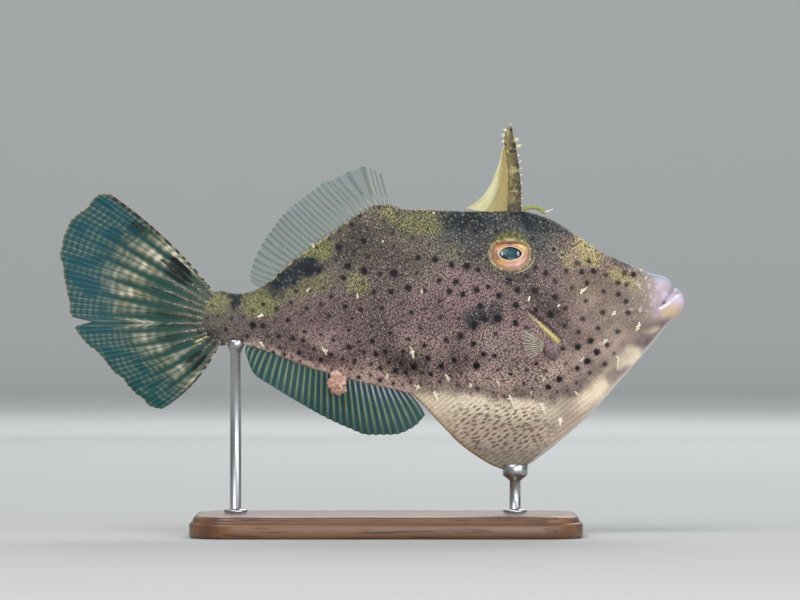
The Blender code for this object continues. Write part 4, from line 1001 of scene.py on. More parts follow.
# %% [markdown]
# An eye on a fish is a clear dome over a coloured iris, set in a ring of skin. A sphere would be
# quick, but this eye is an oval lens that follows the slope of the cheek. The grid runs round the
# oval and in to its middle, so the edge of the pupil and the rings of the iris fall between
# the rings of points and stay sharp. A coat of clear varnish gives the wet shine.

# %% The eyes
PUPIL_AT, PUPIL_HALF = (0.05, 0.3), (3.0, 1.95)
EYE_AROUND, EYE_BACK_RINGS, EYE_FRONT_RINGS = 160, 10, 76
EYE_DEPTH, EYE_BOWL, EYE_SUNK, EYE_DOME = 2.4, 1.9, 0.55, 1.7


def eye_paint(dx, dz):
    """The iris and pupil by their distance from the middle in ovals: a cream ring, an iris that
    turns from tan behind to gold above and pink below, a cream line, and a blue-black pupil that
    is pointed at both ends, more so in front, with two glints that are painted highlights."""
    reach, angle = oval(dx, dz), np.arctan2(dz / EYE_HALF[1], dx / EYE_HALF[0])
    rear = np.abs(angle) - math.pi
    px, pz = dx - PUPIL_AT[0], dz - PUPIL_AT[1]
    narrow = np.where(px > 0, np.abs(px / PUPIL_HALF[0]) ** 1.25, np.abs(px / PUPIL_HALF[0]) ** 1.55)
    pupil = np.sqrt(narrow + (np.abs(pz) / PUPIL_HALF[1]) ** 2.1)
    iris = coats(
        (196, 146, 120),
        ((150, 116, 84), 0.9 * bell(rear, 0.8)),
        ((232, 190, 172), 0.9 * bell(angle + 1.2, 0.75) * ease(0.55, 0.72, reach)),
        ((206, 164, 104), 0.8 * bell(angle + 2.3, 0.35)),
        ((232, 222, 136), 0.95 * bell(angle - 0.75, 0.45) * ease(0.6, 0.82, reach)),
        ((206, 150, 100), 0.8 * bell(angle - 2.3, 0.4)),
        ((104, 74, 96), 0.9 * bell(angle - 1.62, 0.16) * bell(reach - 0.86, 0.13)),
        ((116, 70, 72), 0.7 * bell(rear, 0.35) * bell(reach - 0.68, 0.05)),
        ((160, 96, 70), 0.6 * bell(angle + 0.1, 0.3) * bell(reach - 0.7, 0.06)),
    )
    ragged = noise(angle * 6, reach * 14, 1.3, 64) + 0.6 * noise(angle * 16, reach * 9, 1.1, 65)
    glass = coats(
        (30, 62, 72),
        ((2, 4, 8), ease(0.68, 0.9, pupil)),
        ((2, 4, 8), 0.9 * ease(2.1, 2.6, px)),
        ((70, 110, 122), 0.5 * bell(np.hypot(px / 0.5, pz / 0.5), 1)),
        # The two glints at the ends of the pupil are painted highlights.
        ((186, 210, 214), 0.85 * bell(np.hypot((px + 2.3) / 0.2, pz / 0.55), 1)),
        ((216, 230, 232), 0.9 * bell(np.hypot((px - 2.05) / 0.2, pz / 0.5), 1)),
    )
    return coats(
        iris * linear(240, 240, 246) * (1 + 0.2 * ragged)[..., None],
        ((122, 90, 66), 0.75 * bell(reach - 0.875, 0.028)),
        ((222, 196, 160), 0.9 * bell(reach - 0.95, 0.03)),
        ((228, 208, 166), 0.85 * bell(pupil - 1.06, 0.04)),
        (glass, ease(1.05, 0.99, pupil)),
    )


def eye_shell(side):
    """One eye: rings of the oval from the pole hidden in the head, out to the rim and in to the pole
    that shows, with the dome's height, as (1 - r^2)^0.8, over the sunken rim."""
    inward = np.linspace(1, 0.004, EYE_FRONT_RINGS)[1:]
    reach = np.concatenate([np.linspace(0.02, 1, EYE_BACK_RINGS), inward])
    bowl, dome = EYE_BOWL * reach**2 - EYE_DEPTH, EYE_DOME * (1 - reach**2) ** 0.8 - EYE_SUNK
    deep = np.where(np.arange(len(reach)) < EYE_BACK_RINGS, bowl, dome)
    angle = ring_angles(EYE_AROUND)
    across, up = np.cos(angle), np.sin(angle)
    size = 1 / oval(across * EYE_HALF[0], up * EYE_HALF[1])
    dx = EYE_HALF[0] * reach[:, None] * across * size
    dz = EYE_HALF[1] * reach[:, None] * up * size
    foot, out = flank_at(*EYE_AT, side)
    level = np.array([1.0, 0, 0]) - out[0] * out
    level = level / np.linalg.norm(level)
    upward = np.cross(level, out) * side
    points = foot + dx[..., None] * level + dz[..., None] * upward + deep[:, None, None] * out
    return rings_shell(points, paint=eye_paint(dx, dz))


def eye_finish():
    """The painted eye under clear varnish, with fine threads in the iris as bump."""
    varnish = {"Coat_Roughness": 0.03, "Coat_Weight": 0.4}
    finish = Finish("glossy_eye", Roughness=0.3, IOR=1.38, Specular_IOR_Level=0.25, **varnish)
    finish.bump(finish.clouds(2600, 2.0), 0.00004, 0.5)
    return finish.gives(Base_Color=finish.paint("paint"))


glossy_eye = eye_finish()
for name, side in SIDES.items():
    piece(f"eyeball_{name}", eye_shell(side), glossy_eye, [f"eye_{name}"])

# %% [markdown]
# A fin is a clear film held open by bony rays. A flat card with a picture on it would do from one
# side only. Here each fin is a closed sheet whose two sides part where a ray runs, so the
# rays are real ridges. One number across the fin counts the rays, another runs from root to
# edge, and the rays branch in two and in two again by moving their middle lines apart.

# %% Sheets with rays
FILM_HALF, RAY_HALF = 0.16, 0.34


def ray_lines(u, v, count, ray_mm, cell_mm, first_fork, second_fork, spread):
    """1 along the middle of every ray and branch, 0 on the film between. In a ray's own strip, from
    -0.5 to 0.5, the branches lie at plus or minus one offset that opens after the first fork, plus
    or minus another that opens after the second, and each is a bell curve across."""
    across = (u * count) % 1 - 0.5
    first = spread * ease(*first_fork, v)
    second = spread * 0.5 * ease(*second_fork, v)
    width = ray_mm / cell_mm
    lines = [bell(across - a * first - b * second, width) for a in (-1, 1) for b in (-1, 1)]
    return np.maximum.reduce(lines)


def sheet_rings(middle, half):
    """The rings of a thin sheet: for every row from root to edge, its points along the right face
    and back along the left, each half the thickness from the middle."""
    off = np.zeros(middle.shape)
    off[..., 1] = half
    return np.concatenate([middle - off, (middle + off)[:, ::-1]], axis=1)


def fin_shell(middle, half, **marks):
    """A closed fin from its middle sheet and the half thickness, with its marks on both faces."""
    both = {name: np.concatenate([mark, mark[:, ::-1]], axis=1) for name, mark in marks.items()}
    return rings_shell(sheet_rings(middle, half), **both)


def fanned(root, tip, v, bulge, sway):
    """Points of a ray: straight from root to tip, its middle pushed beside the line by the bulge, as
    4v(1-v), and out of the plane of the fin by the sway."""
    run = tip - root
    beside_run = np.stack([-run[..., 1], run[..., 0]], axis=-1) / np.linalg.norm(run, axis=-1, keepdims=True)
    flat = root + v[..., None] * run + (4 * v * (1 - v) * bulge)[..., None] * beside_run * 0.5
    return np.stack([flat[..., 0], sway, flat[..., 1]], axis=-1)


def ribbed_half(v, lines, film, ray, taper, rim, rim_reach):
    """Half the thickness of a fin: film everywhere, and on it a ray that tapers towards the edge. All
    of it thins to the share rim at the edge, from rim_reach before it."""
    return (film + ray * lines * (1 - taper * v)) * (rim + (1 - rim) * np.clip((1 - v) / rim_reach, 0, 1))


def fin_finish(name, film_clearness, combed=False):
    """Painted rays on a film that lets light through: one mark says how solid each place is. A
    combed fin has fine dark lines too, one for every whole number of its mark comb."""
    finish = Finish(name, Roughness=0.42, IOR=1.38, Specular_IOR_Level=0.3)
    paint, solid = finish.paint("paint"), finish.mark("solid")
    fine = finish.clouds(1400, 3.0)
    tinted = finish.mix(fine * 0.35, paint, finish.colour(62, 52, 40), "MULTIPLY")
    if combed:
        line = ((finish.mark("comb") * (2 * math.pi)).sine() * 0.5 + 0.5) * finish.mark("combed")
        tinted = finish.mix(line, tinted, finish.colour(8, 28, 34))
    finish.bump(fine, 0.00005, 0.6)
    clearness = (solid * film_clearness + (1 - film_clearness)).least(1.0)
    return finish.gives(Base_Color=tinted, Alpha=clearness)


# %% [markdown]
# The tail fin has twelve rays, barred cream and brown, on a smoky blue-green film. A split near
# the middle and the toothed yellow-brown edge make it a fin that has been used. The bars keep in
# step from branch to branch, because they follow the distance from the root.

# %% The tail fin
TAIL_RAYS = 12
TAIL_ROOT_FROM, TAIL_ROOT_TO = math.radians(105), math.radians(268)
TAIL_MARGIN = [
    (-71.4, 29.2), (-73.6, 29.1), (-78.6, 25), (-83.2, 19.8), (-85, 13.4), (-84.2, 6), (-83.3, 2.2),
    (-82.4, -2.7), (-80.5, -8.1), (-73.7, -15.8), (-65.6, -24.4), (-60.2, -29.4), (-57.4, -30.1),
    (-56, -29.4),
]
TAIL_ROOT_HALF, TAIL_WAVE, TAIL_BULGE = (5.4, 6.4), 1.6, 3.2
NOTCH_AT, NOTCH_DEPTH, NOTCH_WIDTH = 0.535, 4.6, 0.016
BAR_LENGTH, FINE_BAR_LENGTH, ROOT_BAR_LENGTH, COMB_LINES = 2.6, 1.7, 1.0, 8


def tail_middle(u, v):
    """The middle sheet: rays fan from an ellipse round the tail stalk to the measured edge, cut in at
    the notch, and the sheet waves sideways more and more towards the edge."""
    angle = TAIL_ROOT_FROM + u * (TAIL_ROOT_TO - TAIL_ROOT_FROM)
    root_x = TAIL_ROUND_FROM + TAIL_ROOT_HALF[0] * np.cos(angle)
    root = np.stack([root_x, TAIL_MID + TAIL_ROOT_HALF[1] * np.sin(angle)], axis=-1)
    tip = along(TAIL_MARGIN)(u)
    run = tip - root
    length = np.linalg.norm(run, axis=-1)
    teeth = 0.61 - 0.11 * np.cos(2 * math.pi * u * TAIL_RAYS * 4) + 0.4 * noise(u * 30, u * 0, 1, 69)
    cut = NOTCH_DEPTH * np.clip(1 - np.abs(u - NOTCH_AT) / NOTCH_WIDTH, 0, 1) ** 0.8 + teeth
    tip = root + run * ((length - cut) / length)[..., None]
    sway = TAIL_WAVE * np.sin(2.2 * math.pi * u + 0.4) * v**1.5
    return fanned(root, tip, v, TAIL_BULGE * (2 * u - 1), sway), length


# An edge is (share of the fin where it starts, where it is full, dark and light of its bars), a
# glow is (middle, strength) of one ray, and a blotch is (across, out, half sizes, strength).
TAIL_EDGES = [
    (0.022, 0.014, (44, 42, 36), (176, 166, 136)), (0.975, 0.985, (58, 50, 50), (184, 164, 152)),
]
TAIL_GLOW = [
    (0.42, 0.8), (0.42, 1.0), (0.47, 0.9), (0.5, 0.5), (0.55, 0.85), (0.52, 0.8), (0.5, 0.6), (0.48, 0.6),
    (0.48, 0.5), (0.42, 0.65), (0.5, 0.65), (0.5, 0.6),
]
TAIL_BLOTCHES = [
    (0.07, 0.29, 0.024, 0.11, 1), (0.118, 0.28, 0.026, 0.12, 1), (0.165, 0.25, 0.02, 0.09, 0.9),
    (0.055, 0.66, 0.018, 0.06, 0.7), (0.865, 0.27, 0.018, 0.12, 1), (0.925, 0.3, 0.018, 0.12, 1),
    (0.47, 0.22, 0.03, 0.1, 0.5), (0.66, 0.32, 0.02, 0.1, 0.4),
]


def tail_paint(u, v, length, lines, wide_lines):
    """Film, then rays, then bars: the film goes from green at the root to blue at the edge; a ray
    is dark, and rows of bars cross its branches at equal distances from the root, cream where the
    ray glows and dull elsewhere. The glow of each ray is (middle, strength)."""
    k = np.clip(np.floor(u * TAIL_RAYS), 0, TAIL_RAYS - 1).astype(int)
    middle_of, strength_of = (np.array(column)[k] for column in zip(*TAIL_GLOW))
    shift = np.random.default_rng(71).uniform(0, 0.5, TAIL_RAYS)[k]
    patchy = ease(-0.6, 0.3, noise(u * 34, v * 9, 1, 70))
    glow = strength_of * bell(v - middle_of - 0.05 * noise(u * 20, v, 1, 80), 0.14) * (0.3 + 0.7 * patchy)
    out, wander = v * length, 0.4 * noise(u * 30, v * 4, 2, 74)
    root_bars = ease(-0.6, 0.7, np.sin(2 * math.pi * out / ROOT_BAR_LENGTH + 3 * noise(u * 40, v * 9, 1, 73)))
    near_root = ease(0.34, 0.1, v) * lines * (0.5 + 0.5 * patchy)
    bar = (0.5 + 0.5 * np.sin(2 * math.pi * (out / BAR_LENGTH + wander + shift))) ** 1.3
    fine_bar = 0.5 + 0.5 * np.sin(2 * math.pi * (out / FINE_BAR_LENGTH + wander))
    far = ease(0.35, 0.55, v) * ease(-0.6, 0.3, noise(u * 50, v * 18, 1.5, 75))
    edge_bars = ease(-0.2, 0.6, np.sin(2 * math.pi * out / BAR_LENGTH + 4 * noise(v * 14, u * 0, 1, 77)))
    edge_bars = edge_bars * (1 - 0.75 * ease(0.2, 0.7, v))
    edges = [(coats(dark, (light, edge_bars)), ease(low, high, u)) for low, high, dark, light in TAIL_EDGES]
    blotches = np.zeros(u.shape)
    for at_u, at_v, wide, long, strength in TAIL_BLOTCHES:
        ragged = np.hypot((u - at_u) / wide, (v - at_v) / long) + 0.25 * noise(u * 90, v * 30, 1, 79)
        blotches = np.maximum(blotches, strength * ease(1.2, 0.75, ragged))
    speck = ease(0.45, 0.8, noise(u * 130, v * 70, 1, 76)) * ease(0.5, 0.1, v) * lines
    ray = coats((18, 60, 52), ((34, 92, 100), ease(0.55, 0.8, v)))
    cream = coats((220, 214, 190), ((176, 152, 116), ease(0.1, 0.8, noise(u * 60, v * 30, 2, 78))))
    rim = ease(0.983, 0.993, v)
    colour = coats(
        (4, 66, 58),
        ((8, 70, 84), ease(0.5, 0.8, v) * ease(1.0, 0.35, u)),
        ((70, 74, 66), 0.9 * ease(0.2, 0.0, v)),
        (ray, 0.85 * wide_lines),
        ((122, 124, 112), 0.65 * ease(0.36, 0.12, v) * wide_lines * (0.4 + 0.6 * patchy)),
        ((30, 34, 40), 0.6 * near_root * (1 - root_bars)),
        ((176, 172, 152), 0.6 * near_root * root_bars),
        ((140, 150, 124), 0.62 * fine_bar * wide_lines * far),
        ((108, 128, 112), 0.62 * glow * np.clip(wide_lines * 1.2, 0, 1)),
        (cream, 1.4 * glow * (0.3 + 0.7 * bar) * wide_lines),
        ((222, 222, 212), 0.8 * speck),
        *edges,
        ((1, 2, 12), blotches * (0.99 - 0.12 * lines)),
        ((226, 216, 150), 0.9 * bell(u - 0.755, 0.012) * ease(0.16, 0.12, v)),
        ((120, 116, 74), 0.8 * rim),
    )
    return colour, np.clip(glow * wide_lines + blotches + rim, 0, 1)


def tail_fin():
    """The tail fin: 24 points across each ray's strip, so that four branches find room in it."""
    u, v = np.meshgrid(np.linspace(0, 1, TAIL_RAYS * 24 + 1), edged(110, 0.02))
    middle, length = tail_middle(u, v)
    cell = 1.8 + 4.7 * v
    forks = ((0.08, 0.85), (0.3, 0.95), 0.25)
    lines = ray_lines(u, v, TAIL_RAYS, 0.4 - 0.2 * v, cell, *forks)
    wide_lines = ray_lines(u, v, TAIL_RAYS, 0.75 - 0.2 * v, cell, *forks)
    half = ribbed_half(v, lines, FILM_HALF, RAY_HALF + 0.25 * ease(0.3, 0, v), 0.55, 0.4, 0.03)
    half += 0.35 * (ease(0.04, 0.02, u) + ease(0.965, 0.98, u)) * (1 - 0.6 * v)
    at_stalk = half_width(np.clip(middle[..., 0], -47, 80), middle[..., 2])
    half = np.maximum(half, (at_stalk + 0.05 + 0.25 * lines) * ease(0.1, 0.03, v))
    colour, covered = tail_paint(u, v, length, lines, wide_lines)
    solid = np.clip(lines * (1 - 0.2 * v) + covered + ease(0.14, 0.03, v), 0, 1)
    combed = 0.25 * ease(0.15, 0.35, v) + 0.2 * ease(0.45, 0.75, v)
    combed = combed * window(u, 0.03, 0.05, 0.96, 0.98)
    comb = u * TAIL_RAYS * COMB_LINES
    return fin_shell(middle, half, paint=np.clip(colour, 0, 1), solid=solid, comb=comb, combed=combed)


piece("tail_fan", tail_fin(), fin_finish("barred_fin", 0.04, combed=True), ["tail_fin"])

# %% [markdown]
# The soft fins of the back and the belly ripple to drive this fish, so their rays lean and wave
# in a travelling curve. The film of the back fin is almost clear and that of the belly fin is
# smoky. Each ray is a pair of fine pale lines, because a soft ray is made of two halves.

# %% The dorsal and the anal fin
DORSAL_RAYS, ANAL_RAYS = 30, 29
DORSAL_FROM, DORSAL_TO = -29.7, 5.8
DORSAL_LENGTH = [(0, 3), (0.08, 6), (0.25, 9.5), (0.5, 12.3), (0.7, 12.6), (0.88, 11.2), (1, 8.6)]
DORSAL_LEAN = [(0, 0.55), (0.3, 0.25), (0.6, 0.22), (1, 0.32)]
ANAL_FROM, ANAL_TO = -33.5, 9.4
ANAL_MARGIN = [
    (-34.1, -14.7), (-32.2, -19.6), (-26.7, -23.6), (-20, -27.7), (-12.9, -31.8), (-6.4, -34.8),
    (-0.7, -36.7), (6, -36.6), (11.6, -34.4), (14.6, -31.2),
]


def ripple(u, v, height, waves, start):
    """A wave that runs along a fin and grows towards its edge, as v^1.4."""
    return height * np.sin(2 * math.pi * (waves * u + start)) * v**1.4


def cleft(u, rays):
    """1 midway between two rays and 0 on a ray: 1 - |sin(pi u n)|."""
    return 1 - np.abs(np.sin(math.pi * u * rays))


def dorsal_middle(u, v):
    """Rays rise from the back at right angles and lean backwards; the edge is their length."""
    x = DORSAL_FROM + u * (DORSAL_TO - DORSAL_FROM)
    root = np.stack([x, top_of(x) - 0.5], axis=-1)
    rise = top_of(x + 0.5) - top_of(x - 0.5)
    upright = math.pi / 2 + np.arctan(rise) + smooth(DORSAL_LEAN)(u)
    long = smooth(DORSAL_LENGTH)(u) + 0.5 - 0.35 * cleft(u, DORSAL_RAYS)
    tip = root + long[..., None] * np.stack([np.cos(upright), np.sin(upright)], axis=-1)
    return fanned(root, tip, v, np.full(u.shape, 0.5), ripple(u, v, 2.2, 1.35, 0.1))


def anal_middle(u, v):
    """Rays hang from the belly's edge to the measured margin, notched a little between rays."""
    x = ANAL_FROM + u * (ANAL_TO - ANAL_FROM)
    root = np.stack([x, keel_of(x) + 0.5], axis=-1)
    tip = along(ANAL_MARGIN)(u)
    tip = root + (tip - root) * (1 - 0.018 * cleft(u, ANAL_RAYS))[..., None]
    return fanned(root, tip, v, 0.9 * (2 * u - 1) ** 3, ripple(u, v, 2.0, 1.3, 0.55))


def soft_fin(middle_of, rays, cell_mm, ray_mm, tints, seed, threads=False):
    """A rippling fin: paired lines for each ray on a film that has its own tint at the root, in
    front. ray_mm is a line's width and cell_mm a ray's share of the film. The tints are those of
    the root, the rays and the film. threads clears the film between the foremost rays."""
    root_tint, ray_tint, film_tint = tints
    u, v = np.meshgrid(np.linspace(0, 1, rays * 10 + 1), edged(30, 0.03))
    lines = ray_lines(u, v, rays, ray_mm, cell_mm, (-0.6, 0.6), (0.7, 1.5), 0.06)
    half = ribbed_half(v, lines, 0.12, 0.2, 0.6, 0.45, 0.06) + 0.2 * ease(0.1, 0, v)
    film = coats(film_tint, (root_tint, ease(0.55, 0.1, v) * ease(0.35, 0.8, u)))
    pale = ease(0.45, 0.05, v) * ease(0.4, 0.9, u)
    ray = coats(ray_tint, ((206, 212, 198), pale), (film_tint, 0.65 * ease(0.55, 1, v)))
    ray = ray * (1 + 0.15 * noise(u * 90, v * 12, 2, seed))[..., None]
    colour = coats(film, (ray, 0.9 * lines), ((150, 140, 110), 0.6 * ease(0.1, 0.0, v)))
    solid = np.clip(lines * (0.9 - 0.3 * v) + ease(0.1, 0, v), 0, 1)
    if threads:
        solid = solid - 0.3 * ease(0.88, 0.9, u) * ease(0.15, 0.3, v) * (1 - lines)
    return fin_shell(middle_of(u, v), half, paint=np.clip(colour, 0, 1), solid=solid)


DORSAL_TINTS = ((110, 122, 122), (128, 130, 106), (104, 128, 132))
ANAL_TINTS = ((8, 56, 84), (134, 146, 118), (14, 68, 70))
clear_fin, smoky_fin = fin_finish("clear_fin", 0.78), fin_finish("smoky_fin", 0.16)
dorsal = soft_fin(dorsal_middle, DORSAL_RAYS, 1.35, 0.13, DORSAL_TINTS, 81, threads=True)
anal = soft_fin(anal_middle, ANAL_RAYS, 1.6, 0.18, ANAL_TINTS, 83)
piece("dorsal_fan", dorsal, clear_fin, ["dorsal_fin"])
piece("anal_fan", anal, smoky_fin, ["anal_fin"])

# %% [markdown]
# The breast fins are small fans beside the gill slit. Their rays are frayed at the tips, with
# clefts between them, so the edge is a deep wave, and each fin stands a little off the cheek on a
# fleshy lobe.

# %% The pectoral fins
PECTORAL_AT, PECTORAL_ROOT, PECTORAL_RAYS = (48.2, -12.7), 1.9, 9
PECTORAL_FROM, PECTORAL_TO = math.radians(144), math.radians(212)
PECTORAL_LONG, PECTORAL_LOSS, PECTORAL_LIFT = 6.7, 2.4, 3.6


def pectoral(side):
    """A fan on one side: rays spread about the lobe, and the sheet stands further off the cheek
    towards its edge, as a share of the way out."""
    u, v = np.meshgrid(np.linspace(0, 1, PECTORAL_RAYS * 10 + 1), edged(30, 0.03))
    angle = PECTORAL_FROM + u * (PECTORAL_TO - PECTORAL_FROM)
    frayed = np.abs(np.sin(math.pi * u * PECTORAL_RAYS)) ** 0.7
    reach = PECTORAL_ROOT + v * (PECTORAL_LONG - PECTORAL_LOSS * u) * (1 - 0.22 * (1 - frayed) * v)
    ahead, up = np.cos(angle), np.sin(angle)
    x, z = PECTORAL_AT[0] + reach * ahead, PECTORAL_AT[1] + reach * up
    cheek = half_width(PECTORAL_AT[0] + PECTORAL_ROOT * ahead, PECTORAL_AT[1] + PECTORAL_ROOT * up)
    y = side * (cheek + 0.35 + v * (PECTORAL_LIFT + 1.4 * u) + 0.5 * v * np.sin(math.pi * u))
    lines = ray_lines(u, v, PECTORAL_RAYS, 0.12, 0.4 + 0.8 * v, (0.2, 0.8), (0.7, 1.3), 0.2)
    colour = coats(
        (150, 132, 128),
        ((218, 214, 194), lines * (0.6 + 0.4 * ease(-0.3, 0.3, noise(u * 14, v * 4, 1, 85)))),
        ((150, 128, 84), 0.7 * ease(0.8, 1.0, u) * ease(0.5, 0.1, v)),
    )
    half = ribbed_half(v, lines, 0.1, 0.2, 0.6, 0.5, 0.1) + 0.35 * ease(0.2, 0, v)
    solid = np.clip(lines + ease(0.25, 0, v), 0, 1)
    return fin_shell(np.stack([x, y, z], axis=-1), half, paint=colour, solid=solid)


breast_fin_finish = fin_finish("frayed_fin", 0.85)
for name, side in SIDES.items():
    piece(f"breast_fin_{name}", pectoral(side), breast_fin_finish, [f"pectoral_fin_{name}"])

# %% [markdown]
# Small round-bodied forms come next: the spine, the fleshy lobes under the breast fins, the
# strap on the forehead, and all the tassels of skin. Each is a profile carried along a path. A
# curve object with a bevel would need to be turned into a mesh, and a ring of points set square to
# the path does the same in one step, with its own thickness at every ring.

# %% Rings along a path
def tube(path, radii, around=8, flat=1.0):
    """Rings of points round a path, square to its direction, with a radius at every point; flat is
    how thick the ring is out of the side view as a share of its height there."""
    path, radii = np.asarray(path, float), np.asarray(radii, float)
    ahead = np.gradient(path, axis=0)
    ahead = ahead / np.linalg.norm(ahead, axis=1, keepdims=True)
    helper = np.where(np.abs(ahead[:, 1:2]) < 0.8, [[0.0, 1.0, 0.0]], [[1.0, 0.0, 0.0]])
    first = np.cross(ahead, helper)
    first = first / np.linalg.norm(first, axis=1, keepdims=True)
    second = np.cross(first, ahead)
    angle = ring_angles(around)[None, :, None]
    ring = np.cos(angle) * first[:, None] + flat * np.sin(angle) * second[:, None]
    return path[:, None] + radii[:, None, None] * ring


# %% The spine and its web
# The spine is (height, x, half length, half width), and a barb is (height, length, lean in degrees).
SPINE = [
    (0, 38.8, 1.9, 1.3), (6, 38.8, 1.8, 1.2), (11, 38.5, 1.6, 1.1), (16, 37.9, 1.6, 0.95),
    (19, 37.5, 1.4, 0.8), (21, 37.4, 1.0, 0.65), (22.8, 37.6, 0.6, 0.45), (24.2, 37.9, 0.2, 0.18),
]
FRONT_BARBS = [
    (1.6, 0.8, -20), (3.6, 0.9, -20), (5.6, 0.9, -15), (7.6, 1, -10), (9.6, 1.1, 10), (11.2, 1.4, 25),
    (12.8, 1.5, 35), (15, 0.9, 10), (17.4, 2, 5), (19, 1.6, 30),
]
REAR_BARBS = [(17.4, 1, -20), (19, 1.2, -10), (20.4, 1.2, 10), (21.8, 1, 20)]
SPINE_FOOT = float(top_of(38.8))
spine_x, spine_long, spine_wide = (smooth([(row[0], row[k]) for row in SPINE]) for k in (1, 2, 3))


def spine_shell():
    """The spine: level ovals stacked up its height, their size from the table, roughened by noise in
    rows, as the edge of the real one is set with small knobs."""
    heights, angle = np.concatenate([np.linspace(-1.5, 23.4, 150), [23.8, 24.05, 24.15]]), ring_angles(28)
    h = np.repeat(heights[:, None], len(angle), axis=1)
    knobs = 1 + 0.1 * noise(h, np.cos(angle) * 2.0 + np.sin(angle), 0.8, 91)
    knobs += 0.07 * np.maximum(np.sin(h * 7.0), 0) * np.clip(np.cos(angle), 0, 1) ** 4
    x = spine_x(h) + spine_long(h) * np.cos(angle) * knobs
    y = spine_wide(h) * np.sin(angle) * knobs
    front = ease(-0.5, 0.4, np.cos(angle) + 0.5 * noise(h, x, 1.4, 96))
    ragged = noise(h, x + 40, 1.5, 93) + 0.6 * noise(h, x, 0.7, 95) + 0.25 * np.cos(angle)
    colour = coats(
        (134, 125, 85),
        ((96, 83, 58), 0.85 * front),
        ((34, 26, 26), ease(0.0, 0.5, ragged) * (0.5 + 0.4 * ease(12, 18, h))),
        ((178, 166, 120), 0.7 * ease(0.3, 0.65, noise(h, x, 0.9, 94))),
        ((74, 58, 62), 0.7 * ease(3.0, 0, h)),
        ((196, 194, 190), 0.8 * ease(22.2, 23.6, h)),
    )
    return rings_shell(np.stack([x, y, SPINE_FOOT + h], axis=-1), paint=colour)


WEB_EDGE = [(25.4, 24.8), (28.1, 26.4), (30.8, 29.1), (32.2, 31.3), (33.5, 34.1), (34.9, 38.2), (35.4, 40.6)]


def web_shell():
    """The web behind the spine: a sheet from the spine's rear edge to the free edge, each row going
    from one to the other at the same share of the height, with soft folds fanning from the foot. Its
    paint has darker stripes of painted shade and a pale band of painted highlight near the free edge."""
    u, v = np.meshgrid(np.linspace(0, 1, 61), np.linspace(0, 1, 61))
    free = along(WEB_EDGE)(v)
    height = 18.8 * v**0.9
    held_x = spine_x(height) - spine_long(height) + 0.5
    held_z = SPINE_FOOT + height - 0.2
    x = free[..., 0] + (held_x - free[..., 0]) * u
    sag = 4 * u * (1 - u)
    z = free[..., 1] + (held_z - free[..., 1]) * u - 0.5 * sag * (1 - v)
    z = np.maximum(z, top_of(x) - 0.6)
    folds = np.sin(9 * u + 5 * v) * sag
    half = 0.24 + 0.14 * (1 - v) + 0.12 * bell(u, 0.12)
    colour = coats(
        (194, 189, 147),
        ((158, 140, 88), 0.9 * ease(0.45, 0.7, u + 0.3 * v)),
        # Darker stripes, painted shade of folds, and a pale band near the free edge, a painted highlight.
        ((146, 138, 98), 0.6 * ease(0.2, 0.9, np.sin(16 * u - 5 * v)) * ease(0.1, 0.4, u)),
        ((212, 208, 174), 0.7 * bell(u - 0.2, 0.14) * ease(-0.4, 0.4, noise(u * 8, v * 8, 1, 97))),
        ((104, 92, 64), 0.5 * ease(0.9, 1, u)),
    )
    sheet = np.stack([x, 0.28 * folds * (1 - v * 0.5), z], axis=-1)
    return fin_shell(sheet, half, paint=colour)


def flesh_finish(name, roughness, grain_mm, pores=0.35):
    """Painted soft tissue: small lumps a grain apart, with painted shade in the hollows between them, as dark
    as pores says.
    """
    finish = Finish(name, Roughness=roughness, IOR=1.4, Specular_IOR_Level=0.4)
    lumps = finish.grains(1 / (grain_mm * MM), evenness=0.9).ease(0.7, 0.15)
    paint = finish.paint("paint")
    # The hollows between the lumps are darkened: painted shade.
    tinted = finish.mix((1 - lumps) * pores, paint, finish.colour(120, 104, 88), "MULTIPLY")
    finish.bump(lumps + finish.clouds(2500, 2.0) * 0.4, 0.00008, 0.8)
    return finish.gives(Base_Color=tinted)


piece("horn_spine", spine_shell(), flesh_finish("knobbly_horn", 0.5, 0.42), ["dorsal_spine"])
piece("spine_web", web_shell(), flesh_finish("thin_web", 0.5, 0.4, pores=0.12), ["spine_membrane"])


# %% Lobes, lump and strap
def lump_shell(centre, radii, paint_low, paint_high, seed, ragged):
    """A soft lump: an ellipsoid whose radius is moved in and out by noise, ragged more or less. Its paint
    goes from paint_low in the dents to paint_high on the knobs: painted shade and painted light.
    """
    polar, angle = np.linspace(0.02, math.pi - 0.02, 44)[:, None], ring_angles(56)[None]
    nx, ny = np.sin(polar) * np.cos(angle), np.sin(polar) * np.sin(angle)
    nz = np.cos(polar) + 0 * angle
    fine = noise(nx * 3, nz * 3 + ny, 0.35, seed + 1)
    rough = 1 + ragged * noise(nx * 3 + ny, nz * 3, 0.8, seed) + 0.5 * ragged * fine
    points = np.stack([nx * radii[0], ny * radii[1], nz * radii[2]], axis=-1) * rough[..., None] + centre
    # Dents take the darker paint and knobs the paler one: painted shade and painted light.
    return rings_shell(points, paint=coats(paint_low, (paint_high, ease(1 - ragged, 1 + ragged, rough))))


# The strap is (x, z, radius).
STRAP = [
    (40.8, 23.9, 0.35), (42, 24.9, 0.5), (43.8, 25.2, 0.55), (45.8, 24.7, 0.5), (47, 23.7, 0.38),
    (47.9, 24.1, 0.24), (49.3, 24.7, 0.12),
]


def strap_shell():
    """The strap on the forehead: a flattened tube that arches from the spine's foot to a pale tip."""
    share = np.linspace(0, 1, 60)
    path = along(STRAP)(share)
    points = np.stack([path[:, 0], np.full(60, -0.5), path[:, 1]], axis=-1)
    rings = tube(points, path[:, 2], 14, 0.55)
    colour = coats((150, 152, 78), ((226, 222, 200), ease(0.72, 0.85, share)))
    return rings_shell(rings, paint=np.repeat(colour[:, None], 14, axis=1))


